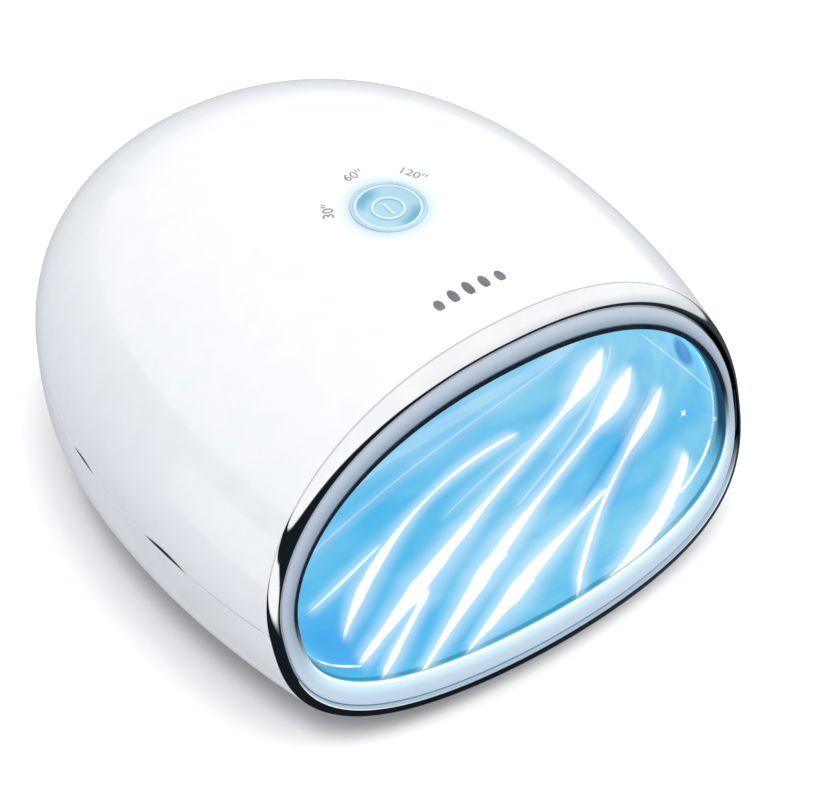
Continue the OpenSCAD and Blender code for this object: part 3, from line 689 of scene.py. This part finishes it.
def mirror_lining():
    """Mirror with painted light: a pale blue painted glow with deeper patches, painted streaks of reflected
    lamps, painted glints and highlights, and painted shade near the face ring.
    """
    s = Shader("mirror_lining", (0.02, 0.07, 0.12), 0.15)
    x, y, z = s.xyz()
    depth = s.value("depth")
    # girth runs across the floor and on up the side walls, so that the streaks climb them
    rise = s.minus(z, BELT - 23.5 * MM)
    girth = s.math("MULTIPLY_ADD", s.math("SIGN", x), s.times(rise, 0.9), x)
    wide = s.noise(16, 3, (1, 1.7, 1), 0.35, 0.66)
    fine = s.noise(70, 4, (0.5, 1.5, 1), 0.4, 0.66)
    # base is the colour of the painted glow, paler and deeper at random.
    base = s.blend(wide, (0.10, 0.52, 0.82), (0.28, 0.67, 0.86))
    base = s.blend(s.times(fine, 0.4), base, (0.07, 0.45, 0.85))
    # Painted deeper blue patch low on the left.
    corner = s.distance((-62 * MM, -74 * MM, 17 * MM), False)
    base = s.blend(s.step(corner, 18 * MM, 3 * MM, 0, 0.8), base, (0.05, 0.36, 0.82))
    # Painted darker patch on the right wall.
    dark_patch = s.distance((75 * MM, -60 * MM, 41 * MM), False)
    base = s.blend(s.step(dark_patch, 6 * MM, 3 * MM, 0, 0.9), base, (0.02, 0.20, 0.55))
    uneven = s.step(s.noise(38, 2), 0, 1, 0.78, 1.22)
    # Painted dark reflections between the streaks.
    dark_streaks = brightest(s, [streak(s, girth, y, uneven, *dark_streak) for dark_streak in DARK_STREAKS])
    base = s.blend(dark_streaks, base, (0.04, 0.28, 0.66))
    # A thin painted line of reflected light on the right wall.
    wall = s.times(s.step(x, 58 * MM, 62 * MM), s.step(y, -38 * MM, -46 * MM))
    line = s.gap(z, s.math("MULTIPLY_ADD", y, -0.1, 29 * MM))
    line = s.times(s.step(line, 0.5 * MM, 0.1 * MM, 0, 0.4), wall)
    glints = [star(s, at) for at in GLINTS]
    # Painted highlight along the lining's front edge, at both sides, broken by noise.
    rim = s.times(s.step(depth, 1.8 * MM, 1.2 * MM), s.step(depth, 0.2 * MM, 0.6 * MM))
    rim = s.times(rim, s.step(s.noise(160, 2), 0, 1, 0.2, 0.95))
    sides = s.larger(s.step(x, 40 * MM, 58 * MM), s.step(x, -52 * MM, -60 * MM))
    rim = s.times(rim, sides)
    # Painted reflections of the lamps; total is the brightest of all the painted marks.
    streaks = [streak(s, girth, y, uneven, *one) for one in STREAKS]
    total = brightest(s, [*streaks, line, rim, *glints])
    # Painted shade near the face ring on the upper part of the cavity; it dims the painted marks too.
    shade = s.times(s.step(z, BELT - 20 * MM, BELT - 8 * MM), s.step(depth, 0.8 * MM, -1.7 * MM))
    # Painted deeper teal on the face ring's inner wall, near its front.
    base = s.blend(s.step(depth, -2.8 * MM, -3.4 * MM, 0, 0.85), base, (0.02, 0.24, 0.36))
    base = s.blend(shade, base, (0.004, 0.015, 0.03))
    total = s.times(total, s.step(shade, 0.6, 0.1))
    s.set("Specular IOR Level", s.step(shade, 0, 0.8, 0.2, 0.0))
    # All the lining's light is painted: it glows with its colour, whitened by the painted marks.
    s.glow(s.blend(total, base, WHITE), s.step(total, 0, 1, 0.86, 1.15))
    s.bump(fine, 0.1, 0.05 * MM)
    return s.material


def metallised_back():
    return moulded("lining_back", (0.55, 0.58, 0.6), (0.7, 0.72, 0.74), (0.25, 0.4), 700, 0.05, Metallic=0.7)


def button_blue():
    """Turned dish: two painted dark lobes of reflection that spread from the middle, fine turning marks and a
    pale rim.
    """
    s = Shader("button_blue", Coat_Weight=0.4, Coat_Roughness=0.1)
    x, y, _ = s.xyz(s.offset(BUTTON))
    angle = s.math("ARCTAN2", y, x)
    r = s.distance(BUTTON)
    # Painted reflection of the turned finish: two darker lobes across the dish.
    lobe = s.step(s.math("COSINE", s.times(s.math("ADD", angle, 1.08), 2.0)), -0.2, 1.0)
    marks = s.math("SINE", s.times(r, TAU / (0.28 * MM)))
    within = s.times(s.step(r, 4.4 * MM, 7.6 * MM), s.step(r, 9.3 * MM, 8.4 * MM))
    base = s.blend(s.times(lobe, within), (0.37, 0.60, 0.71), (0.11, 0.38, 0.52))
    base = s.blend(s.step(r, 9.0 * MM, 9.4 * MM), base, (0.60, 0.74, 0.80))
    s.set("Base Color", base)
    s.set("Roughness", s.step(marks, -1, 1, 0.25, 0.35))
    s.glow(base, 0.04)
    s.bump(marks, 0.08, 0.01 * MM)
    return s.material


def raised_mark():
    """Pale glowing finish of the ring, the bar and the rim on the button."""
    s = Shader("button_mark", rough=0.3)
    s.grain(3000, (0.54, 0.71, 0.79), (0.60, 0.75, 0.82), (0.25, 0.35), 0.02)
    s.glow((0.75, 0.93, 1.0), 0.06)
    return s.material


def clear_ring():
    """Milky glowing ring round the button."""
    s = Shader("clear_ring", Transmission_Weight=0.35)
    colour = s.grain(2000, (0.50, 0.68, 0.77), (0.58, 0.75, 0.83), (0.15, 0.25), 0.02)
    s.glow(colour, 0.14)
    return s.material


def moulded(name, dark, light, rough=(0.35, 0.5), scale=1400, strength=0.08, **inputs):
    """Plain moulded, cast or drawn material."""
    s = Shader(name, **inputs)
    s.grain(scale, dark, light, rough, strength)
    return s.material


def circuit_board():
    """Green solder mask with paler copper tracks on a grid."""
    s = Shader("circuit_board", Coat_Weight=0.3)
    x, y = s.xyz()[:2]
    jog = s.times(s.math("SNAP", s.noise(120, 1), 0.25), 3 * MM)
    grid = 2.54 * MM
    across, along = (s.math("FRACT", s.math("DIVIDE", s.math("ADD", v, jog), grid)) for v in (x, y))
    track = s.larger(s.step(across, 0.78, 0.82), s.step(along, 0.80, 0.84))
    mask = s.blend(s.noise(500), (0.01, 0.11, 0.045), (0.015, 0.15, 0.06))
    s.set("Base Color", s.blend(track, mask, (0.04, 0.26, 0.10)))
    s.set("Roughness", s.step(s.noise(900), 0, 1, 0.3, 0.42))
    s.bump(track, 0.4, 0.03 * MM)
    return s.material


def emitter_lens():
    """Domed emitter: pale glow in its middle, violet blue towards its edge."""
    s = Shader("emitter_lens", (0.75, 0.78, 0.9), 0.08, Transmission_Weight=0.3)
    facing = s.add("ShaderNodeLayerWeight", (0.35,)).outputs["Facing"]
    colour = s.blend(facing, (0.85, 0.92, 1.0), (0.35, 0.45, 1.0))
    s.glow(s.blend(s.noise(1200, 2), colour, (0.7, 0.8, 1.0)), 1.6)
    return s.material


def coil_copper():
    s = Shader("coil_copper", Metallic=0.9)
    winding = s.math("SINE", s.times(s.xyz()[2], TAU / (0.3 * MM)))
    s.set("Base Color", s.blend(s.noise(900), (0.45, 0.17, 0.06), (0.7, 0.33, 0.14)))
    s.set("Roughness", s.step(winding, -1, 1, 0.25, 0.4))
    s.bump(winding, 0.5, 0.05 * MM)
    return s.material


def printed(name, dark, light):
    return moulded(name, dark, light, (0.4, 0.5), 2500, 0.02)


# Front

def make_bezel():
    section = bezel_section()
    mesh = ring_mesh("bezel", section)
    put_values(mesh, "across", np.stack([np.broadcast_to(g, ANGLES.shape) for g, _ in section], 1))
    make_piece("bezel", mesh, chrome_band(), replaces=["front_bezel"])


def make_face_ring(lining):
    """The ring's inner wall takes the lining's material, with its painted glow and shade, so that it looks as
    the mirror behind it does.
    """
    section = ring_section()
    mesh = ring_mesh("ring", section)
    across = [-g + max(0, d - RING_FACE_D) / RING_WALL_D for g, d in section]
    put_values(mesh, "across", np.tile(across, len(ANGLES)))
    put_values(mesh, "depth", np.tile([d - CAVITY_D for _, d in section], len(ANGLES)))
    make_piece("face_ring_satin", mesh, [satin_ring(), lining], replaces=["face_ring"])
    for face in mesh.polygons:
        deep = all(mesh.attributes["across"].data[v].value > 1.1 for v in face.vertices)
        inwards = Vector((-face.center.x, 0, BELT - face.center.z))
        face.material_index = int(deep and face.normal.dot(inwards) > 0)


# The two shells

def cut_mesh(mesh, parts):
    """Cuts closed solids, each a list of points and one of faces, out of a mesh."""
    return boolean(mesh, make_mesh("cutter", *joined(parts)), "DIFFERENCE")


def rod(z0, z1, r):
    """Profile of a plain round solid."""
    return [[0, z0], [r, z0], [r, z1], [0, z1]]


def bore(x, y, z0, z1, r):
    """Upright round solid."""
    return lathe(rod(z0, z1, r), BORE_SIDES, (x, y, 0))


def pocket(x, y, z0, z1, z2, r1, r2):
    """Upright solid of two radii: r1 up to z1, r2 on to z2."""
    return lathe([[0, z0], [r1, z0], [r1, z1], [r2, z1], [r2, z2], [0, z2]], BORE_SIDES, (x, y, 0))


def make_dome():
    """Dome with the hole for the button's ring."""
    hole = bore(BUTTON.x, BUTTON.y, BUTTON.z - 9 * MM, BUTTON.z + 5 * MM, GLOW_R + 0.06 * MM)
    mesh = cut_mesh(shell_mesh("dome", dome_section), [hole])
    finish_skin(mesh)
    make_piece("dome_shell", mesh, [white_shell(), seam_shadow()], replaces=["top_shell"])


def solid_boxes(node):
    """Low and high corner of each of a node's separate solids, in a fixed order."""
    bm = bmesh.new()
    bm.from_mesh(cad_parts[node].data)
    bmesh.ops.remove_doubles(bm, verts=bm.verts, dist=0.001 * MM)
    left, found = set(bm.verts), []
    while left:
        group, front = set(), [left.pop()]
        while front:
            v = front.pop()
            group.add(v)
            new = {e.other_vert(v) for e in v.link_edges} & left
            left -= new
            front += new
        found.append([Vector([pick(v.co[k] for v in group) for k in range(3)]) for pick in (min, max)])
    bm.free()
    return sorted(found, key=lambda box: tuple(box[0]))


def columns(node):
    """Middle in plan, low and high corner of each of a node's separate solids."""
    return [(*((low + high) / 2).xy, low, high) for low, high in solid_boxes(node)]


# Radii of a screw's post, of the bore for its head and of the bore for its shank.
HOUSING_POST = (3.5 * MM, 2.6 * MM, 1.4 * MM)
REFLECTOR_POST = (3 * MM, 2.3 * MM, 1.1 * MM)
FOOT_GAP = 0.1 * MM
INLET_R = 4.7 * MM


def make_belly():
    """Belly with its screw posts and the bores for screws, feet and inlet."""
    floor_z = BELT + FLAT_Z
    below = floor_z - 1 * MM
    bosses, holes = [], []
    post, head, shank = HOUSING_POST
    for x, y, low, _ in columns("housing_screws"):
        bosses.append(bore(x, y, floor_z + 8.5 * MM, BELT - 0.3 * MM, post))
        holes.append(pocket(x, y, below, low.z + 1.6 * MM, BELT + 9 * MM, head, shank))
    post, head, shank = REFLECTOR_POST
    for x, y, low, high in columns("reflector_screws"):
        bosses.append(bore(x, y, floor_z + 1 * MM, high.z - 3.1 * MM, post))
        holes.append(pocket(x, y, below, low.z + 1.2 * MM, high.z, head, shank))
    for x, y, low, high in columns("rubber_feet"):
        holes.append(bore(x, y, below, floor_z + 1 * MM, (high.x - low.x) / 2 + FOOT_GAP))
    inlet_low, inlet_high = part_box("power_inlet")
    along_y = Matrix.Rotation(math.radians(-90), 3, "X")
    nose = (0, inlet_high.y, (inlet_low.z + inlet_high.z) / 2)
    holes.append(lathe(rod(-6 * MM, 14 * MM, INLET_R), BORE_SIDES, nose, along_y))
    mesh = boolean(shell_mesh("belly", belly_section), make_mesh("bosses", *joined(bosses)), "UNION")
    mesh = cut_mesh(mesh, holes)
    finish_skin(mesh)
    make_piece("belly_shell", mesh, [white_shell_below(), seam_shadow()], replaces=["bottom_shell"])


# Cavity

CAVITY_L = 150 * MM
CAVITY_D = 4.9 * MM
CAVITY = tuple(f - 1.15 * r for f, r in zip(FACE, RING))
CAVITY_GROW = (2 * MM, 0, 1 * MM)
CAVITY_CURVES = ((2.6, 2.2), (4, 2.2), (5, 2.4))
CAVITY_POWERS = (2.4, 2.5, 5, 3.6)
LINING_T = 1.2 * MM
# In degrees: half of what the floor's sheet takes of the way round, and half the gap beside it.
FLOOR_ANGLE = 37.8
SHEET_GAP = 0.004
DOME_SHEET_COLS = 300
FLOOR_SHEET_COLS = 120
GROWN_AT = 0.3
FLANGE_G = -0.4
FLANGE_T = 1 * MM


def cavity_pt(r, a, t):
    """Point of the cavity's lining at depth r from 0 to 1, t outside its inner face."""
    size = [swell(r, c, c + g, GROWN_AT, k) + t * (r < 1)
            for c, g, k in zip(CAVITY, CAVITY_GROW, CAVITY_CURVES)]
    powers = [mix(f, b, min(1, r / GROWN_AT)) for f, b in zip(FRONT_POWERS, CAVITY_POWERS)]
    x, z = oval(size, a, powers)
    y = FACE_Y + CAVITY_D + r * (CAVITY_L + t) + lean(x, z) * (1 - r) ** LEAN_FADE
    return np.stack(np.broadcast_arrays(x, y, BELT + z), -1)


def lining_sheet(a0, a1, cols):
    """Points and faces of a closed sheet between two angles, with a flange at the front."""
    a = np.radians(np.linspace(a0, a1, cols))
    depths = crowded(120)
    inner = [front_pt(FLANGE_G, CAVITY_D, a)] + [cavity_pt(r, a, 0) for r in depths]
    outer = [front_pt(FLANGE_G, CAVITY_D + FLANGE_T, a), cavity_pt(FLANGE_T / CAVITY_L, a, LINING_T)]
    outer += [cavity_pt(r, a, LINING_T) for r in depths[1:]]
    rows = [np.concatenate([i, o[::-1]]) for i, o in zip(inner, outer)]
    front = [(c, c + 1, 2 * cols - 2 - c, 2 * cols - 1 - c) for c in range(cols - 1)]
    return np.concatenate(rows), loop_faces(len(rows), 2 * cols) + front


def mark_inner(mesh):
    """Gives the faces that look into the cavity material 0 and the others material 1."""
    for face in mesh.polygons:
        c = face.center
        inwards = Vector((-c.x, -12 * MM, BELT + 5 * MM - c.z))
        face.material_index = int(face.normal.dot(inwards) < 0)


def cavity_depth(co):
    """How far points of the lining lie behind its front edge."""
    r = np.full(len(co), 0.3)
    for _ in range(SOLVE_STEPS):
        front = FACE_Y + CAVITY_D + lean(co[:, 0], co[:, 2] - BELT) * (1 - r) ** LEAN_FADE
        r = np.clip((co[:, 1] - front) / CAVITY_L, 0, 1)
    return r * CAVITY_L


EMITTER_R = 3.3 * MM
EMITTER_TILT = 74


def emitter_holes():
    """Round holes where the emitters reach through the lining, along their own axes."""
    holes = []
    for node, tilt in (("roof_leds", 0), ("left_leds", -EMITTER_TILT), ("right_leds", EMITTER_TILT)):
        turn = Matrix.Rotation(math.radians(tilt), 3, "Y")
        for low, high in solid_boxes(node):
            holes.append(lathe(rod(-5 * MM, 5 * MM, EMITTER_R), 40, (low + high) / 2, turn))
    return holes


def make_cavity(glow):
    """Lining in two sheets: the dome over the hand, with the emitters' holes, and the floor."""
    back = metallised_back()
    over, under = FLOOR_ANGLE + SHEET_GAP, FLOOR_ANGLE - SHEET_GAP
    dome = make_mesh("lining_dome", *lining_sheet(over - 90, 270 - over, DOME_SHEET_COLS))
    dome = cut_mesh(dome, emitter_holes())
    floor = make_mesh("lining_floor", *lining_sheet(270 - under, 270 + under, FLOOR_SHEET_COLS))
    for part, mesh in (("dome", dome), ("floor", floor)):
        put_values(mesh, "depth", cavity_depth(coords(mesh)))
        make_piece("lining_" + part, mesh, [glow, back], replaces=["reflector_" + part])
        mark_inner(mesh)


# Button

def make_button():
    """Dished cap with a raised ring and a bar, turned from one profile of (radius, height) in millimetres."""
    top = cap_high.z
    outline = [(0, -8), (2.2, -8), (2.2, -2.6), (8.2, -2.6), (8.2, -4.4), (8.2, -5.1), (10.3, -5.1),
               (10.3, -4.4), (9.6, -4.4), (9.6, -0.25), (9.52, -0.08), (9.3, 0), (8.9, 0), (8.75, -0.06),
               (8.68, -0.25)]
    dish = [(r, -0.3 - 0.7 * (1 - (r / 8.6) ** 2)) for r in np.linspace(8.5, 5.1, 12)]
    ring = rounded([(4.95, -0.76), (4.85, -0.42), (4.0, -0.42), (3.9, -0.85)], 3)
    middle = [(r, -0.85 - 0.15 * (1 - (r / 3.9) ** 2)) for r in np.linspace(3.7, 0, 8)]
    profile = [(r * MM, z * MM) for r, z in [*outline, *dish, *ring, *middle]]
    mesh = make_mesh("button", *lathe(profile, TURNED_SIDES, (BUTTON.x, BUTTON.y, top)))
    make_piece("button_dish", mesh, [button_blue(), raised_mark()], "button", ["button_cap"])
    for face in mesh.polygons:
        r = (face.center.xy - BUTTON.xy).length
        depth = top - face.center.z
        on_ring = 4.0 * MM < r < 4.8 * MM and depth < 0.84 * MM
        on_rim = r > 8.6 * MM and depth < 0.3 * MM
        face.material_index = int(on_ring or on_rim)
    bar = make_mesh("bar", *bar_solid(2.7 * MM, 0.42 * MM, 0.3 * MM))
    bar.transform(Matrix.Translation((BUTTON.x, BUTTON.y, top - 0.98 * MM)))
    make_piece("button_bar", bar, raised_mark(), "button")


def bar_solid(reach, half, height):
    """Rounded bar along Y: a rounded outline with a crowned top."""
    count = 48
    turn = np.linspace(0, TAU, count, endpoint=False)
    shift = (reach - half) * np.sign(np.sin(turn) + 1e-9)
    rows = []
    for share, z in ((1, -0.3), (1, 0.6), (0.92, 0.85), (0.7, 1.0), (0.3, 1.05)):
        rows.append(np.stack([half * share * np.cos(turn), shift + half * share * np.sin(turn),
                              np.full(count, z * height)], -1))
    return capped(rows)


def make_light_ring():
    """Glowing ring with a flange at its foot and a rounded crown."""
    inner, flange = CAP_R + 0.08 * MM, 13.1 * MM
    low, high = glow_low.z, glow_high.z
    step, edge, drop = low + 1.2 * MM, 0.05 * MM, 0.2 * MM
    outline = [(inner, low), (flange, low), (flange, step), (GLOW_R, step)]
    crown = [(GLOW_R, high - drop), (GLOW_R - edge, high), (inner + edge, high), (inner, high - drop)]
    profile = [*outline, *rounded(crown, 3), (inner, low)]
    mesh = make_mesh("light_ring", *lathe(profile, TURNED_SIDES, (BUTTON.x, BUTTON.y, 0)))
    make_piece("light_ring", mesh, clear_ring(), replaces=["button_light_ring"])


# Printed marks

INK_T = 0.04 * MM
TIMER_R = 15.0 * MM
TIMER_SIZE = 4.3 * MM


def print_on_roof(name, mesh, mat):
    """Lays a flat mesh, drawn in plan with its sole at z = 0, on the dome."""
    co = coords(mesh)
    co[:, 2] += roof_height(co[:, 0], co[:, 1])
    mesh.vertices.foreach_set("co", co.ravel())
    mesh.update()
    make_piece(name, mesh, mat)


def numeral_mesh(text, size):
    """Flat raised text, a little bolder than the font."""
    curve = bpy.data.curves.new("numeral", "FONT")
    curve.body, curve.size, curve.align_x = text, size, "CENTER"
    curve.extrude = INK_T / 2
    curve.resolution_u = 6
    curve.offset = 0.07 * MM
    return evaluated_mesh(put("numeral", curve))


def make_numerals():
    """Seconds round the button, with their feet towards it."""
    ink = printed("printed_pale_grey", (0.27, 0.28, 0.30), (0.34, 0.35, 0.37))
    for text, angle in (("30″", 150), ("60″", 90), ("120″", 30)):
        mesh = numeral_mesh(text, TIMER_SIZE)
        turn = Matrix.Rotation(math.radians(angle - 90), 4, "Z")
        middle = Matrix.Translation((BUTTON.x, BUTTON.y, 0))
        mesh.transform(middle @ turn @ Matrix.Translation((0, TIMER_R, 0)))
        print_on_roof("timer_mark_" + text[:-1], mesh, ink)


def nail(at, high, wide):
    """Flat oval with a blunt foot, as a thin slab in rows from foot to tip."""
    rows = []
    for t in np.sin(np.radians(np.linspace(-58, 88, 25))):
        half = wide / 2 * math.sqrt(1 - t * t)
        y = (t + 1) * high / 2
        rows.append([[at + half, y, 0], [at - half, y, 0], [at - half, y, -INK_T], [at + half, y, -INK_T]])
    return capped(rows)


def make_fingertips():
    """Row of five fingernails, the plain mark in front of the button."""
    spacing, wide, heights = 5.0 * MM, 2.7 * MM, (3.9, 4.8, 5.2, 4.8, 4.1)
    mesh = make_mesh("fingertips", *joined([nail((i - 2) * spacing, high * MM, wide)
                                            for i, high in enumerate(heights)]))
    mesh.transform(Matrix.Translation((BUTTON.x - 1.4 * MM, BUTTON.y - 40 * MM, INK_T / 2)))
    print_on_roof("fingertip_mark", mesh, printed("printed_grey", (0.14, 0.145, 0.155), (0.19, 0.195, 0.205)))


# Studio

FLOOR_HALF = 4.0
# Reaches of the floor's painted shadows.
WIDE_SHADOW = 28 * MM
CONTACT_SHADOW = 11 * MM


def make_floor():
    """White floor, seen from above only: from below it lets the eye and the light through. For the camera it
    carries a painted shadow round the lamp, a darker painted contact shadow on the left and painted light
    away from the lamp.
    """
    mesh = bpy.data.meshes.new("studio_floor")
    corners = [(x * FLOOR_HALF, y * FLOOR_HALF, 0) for x, y in ((-1, -1), (1, -1), (1, 1), (-1, 1))]
    mesh.from_pydata(corners, [], [(0, 1, 2, 3)])
    s = Shader("studio_floor", rough=0.8, Specular_IOR_Level=0.0)
    wide, tight = (s.add("ShaderNodeAmbientOcclusion", (None, reach)).outputs["AO"]
                   for reach in (WIDE_SHADOW, CONTACT_SHADOW))
    path = s.add("ShaderNodeLightPath").outputs
    # Painted shadow where the wide occlusion is low.
    seen = s.blend(wide, (0.74, 0.74, 0.73), (0.98, 0.98, 0.975))
    # Painted contact shadow, on the left side only.
    left = s.step(s.xyz()[0], 20 * MM, -60 * MM)
    painted_contact_shadow = s.times(s.step(tight, 0.95, 0.4), left)
    seen = s.blend(painted_contact_shadow, seen, (0.46, 0.46, 0.46))
    s.set("Base Color", s.blend(path["Is Camera Ray"], (0.86, 0.86, 0.86), seen))
    # Painted light: the floor glows for the camera away from the lamp.
    painted_floor_light = s.times(s.math("POWER", wide, 3), 0.28)
    s.glow(WHITE, s.times(painted_floor_light, path["Is Camera Ray"]))
    below = s.add("ShaderNodeNewGeometry").outputs["Backfacing"]
    clear = s.larger(below, s.math("GREATER_THAN", path["Transparent Depth"], 0.5))
    bare = s.add("ShaderNodeBsdfTransparent").outputs[0]
    surface = s.add("ShaderNodeMixShader", (clear, s.bsdf.outputs[0], bare)).outputs[0]
    s.feed(s.nodes["Material Output"].inputs["Surface"], surface)
    mesh.materials.append(s.material)
    floor = put("studio_floor", mesh)
    floor.visible_glossy = False


# Where the camera is, its lens, and its azimuth, elevation and roll in degrees.
CAMERA_AT = (-0.26195, -0.36512, 0.45999)
CAMERA_LENS = 91.77
CAMERA_TURN = (-37.716, 44.592, 1.890)


def make_camera():
    camera = put("camera", bpy.data.cameras.new("camera"))
    camera.data.sensor_width = 36
    camera.data.lens = CAMERA_LENS
    azimuth, elevation, roll = (math.radians(v) for v in CAMERA_TURN)
    turn = Matrix.Rotation(azimuth, 4, "Z") @ Matrix.Rotation(math.pi / 2 - elevation, 4, "X")
    camera.matrix_world = Matrix.Translation(CAMERA_AT) @ turn @ Matrix.Rotation(roll, 4, "Z")
    bpy.context.scene.camera = camera


class World(Shader):
    """Studio surroundings, as nodes of the world."""

    def __init__(self):
        world = bpy.data.worlds.new("studio")
        bpy.context.scene.world = world
        world.use_nodes = True
        self.nodes, self.links = world.node_tree.nodes, world.node_tree.links
        self.background = self.nodes["Background"]
        self.place = self.add("ShaderNodeTexCoord").outputs["Generated"]


LIGHT_FROM = (0.33, -0.08, 0.94)


def make_world():
    """Soft light from above; what shines reflects a white ceiling, a dark room and a soft box.

    Angles are in degrees. Azimuth is 0 in front of the lamp and grows to its right.
    """
    s = World()
    x, y, z = s.xyz()
    elevation = s.math("DEGREES", s.math("ARCSINE", z))
    azimuth = s.math("DEGREES", s.math("ARCTAN2", x, s.times(y, -1)))
    ceiling_edge = s.math("MULTIPLY_ADD", s.math("SINE", s.math("RADIANS", azimuth)), -18, 4)
    over_edge = s.minus(elevation, ceiling_edge)
    ceiling = s.step(over_edge, -0.8, 1.2)
    slope = s.times(s.larger(s.math("ADD", azimuth, 40), 0), 0.2)
    box_top = s.minus(s.minus(ceiling_edge, 11), slope)
    box = s.step(s.minus(box_top, elevation), -0.7, 0.7)
    for edge in (s.step(elevation, -14, -10), s.step(azimuth, -122, -112), s.step(azimuth, -4, -8)):
        box = s.times(box, edge)
    room = s.blend(s.step(azimuth, 20, 90), (0.008, 0.011, 0.016), (0.05, 0.06, 0.062))
    behind = s.step(s.gap(azimuth, -17), 112, 150)
    room = s.blend(behind, room, (0.45, 0.47, 0.50))
    near_edge = s.minus(1, s.step(over_edge, 0, 16, 0.7, 1.0))
    white = s.blend(s.times(s.step(azimuth, 8, 40), near_edge), WHITE, (0, 0.1, 0.2))
    glossy = s.blend(s.larger(ceiling, box), room, white)
    toward = s.vector("DOT_PRODUCT", s.place, LIGHT_FROM, out=1)
    soft = s.blend(s.step(toward, -0.2, 1.0), (0.53, 0.57, 0.65), (1.42, 1.42, 1.41))
    path = s.add("ShaderNodeLightPath").outputs
    light = s.blend(path["Is Glossy Ray"], soft, glossy)
    s.feed(s.background.inputs["Color"], s.blend(path["Is Camera Ray"], light, WHITE))


def finish_cad_nodes():
    """Gives the CAD nodes that stay in view their materials."""
    steel = moulded("screw_steel", (0.42, 0.43, 0.45), (0.62, 0.63, 0.65), (0.2, 0.35), 3000, Metallic=1.0)
    board = circuit_board()
    lens = emitter_lens()
    wire = moulded("wire_jacket", (0.45, 0.03, 0.03), (0.6, 0.06, 0.05))
    pipe = moulded("light_pipe", (0.7, 0.8, 0.85), (0.85, 0.93, 0.97), (0.08, 0.15), Transmission_Weight=0.6)
    lamp = moulded("lamp_white", (0.8, 0.8, 0.76), (0.9, 0.9, 0.87), (0.3, 0.4))
    black = moulded("black_plastic", (0.015, 0.015, 0.017), (0.035, 0.035, 0.038))
    frame_grey = moulded("frame_plastic", (0.62, 0.63, 0.62), (0.74, 0.75, 0.74), (0.4, 0.55))
    chip = moulded("chip_black", (0.02, 0.02, 0.022), (0.05, 0.05, 0.052), (0.5, 0.65), 3500, 0.15)
    sleeve = moulded("capacitor_sleeve", (0.02, 0.03, 0.14), (0.03, 0.05, 0.2), (0.25, 0.4))
    ivory = moulded("socket_ivory", (0.72, 0.67, 0.54), (0.82, 0.78, 0.66), (0.4, 0.55))
    brass = moulded("pin_brass", (0.62, 0.45, 0.16), (0.75, 0.58, 0.26), (0.15, 0.3), Metallic=1.0)
    rubber = moulded("foot_rubber", (0.04, 0.04, 0.042), (0.075, 0.075, 0.078), (0.7, 0.85), 2200, 0.3)
    for mat, nodes in (
            (steel, ("reflector_screws", "roof_board_screws", "side_board_screws", "button_holder_screws",
                     "control_board_screws", "housing_screws")),
            (board, ("roof_led_board", "left_led_board", "right_led_board", "control_board")),
            (lens, ("roof_leds", "left_leds", "right_leds")),
            (black, ("tact_switch", "power_inlet", "switch_plunger")),
            (wire, ("power_wires", "led_wires")),
            (frame_grey, ["button_holder"]), (chip, ["timer_chip"]), (coil_copper(), ["driver_coil"]),
            (sleeve, ["smoothing_capacitors"]), (lamp, ["indicator_leds"]), (pipe, ["timer_light_pipes"]),
            (ivory, ["wire_sockets"]), (brass, ["inlet_pin"]), (rubber, ["rubber_feet"])):
        for node in nodes:
            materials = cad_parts[node].data.materials
            materials.clear()
            materials.append(mat)


make_dome()
make_belly()
make_bezel()
lining = mirror_lining()
make_face_ring(lining)
make_cavity(lining)
make_button()
make_light_ring()
make_numerals()
make_fingertips()
finish_cad_nodes()
make_floor()
make_world()
make_camera()
bpy.context.scene.view_settings.view_transform = "Standard"
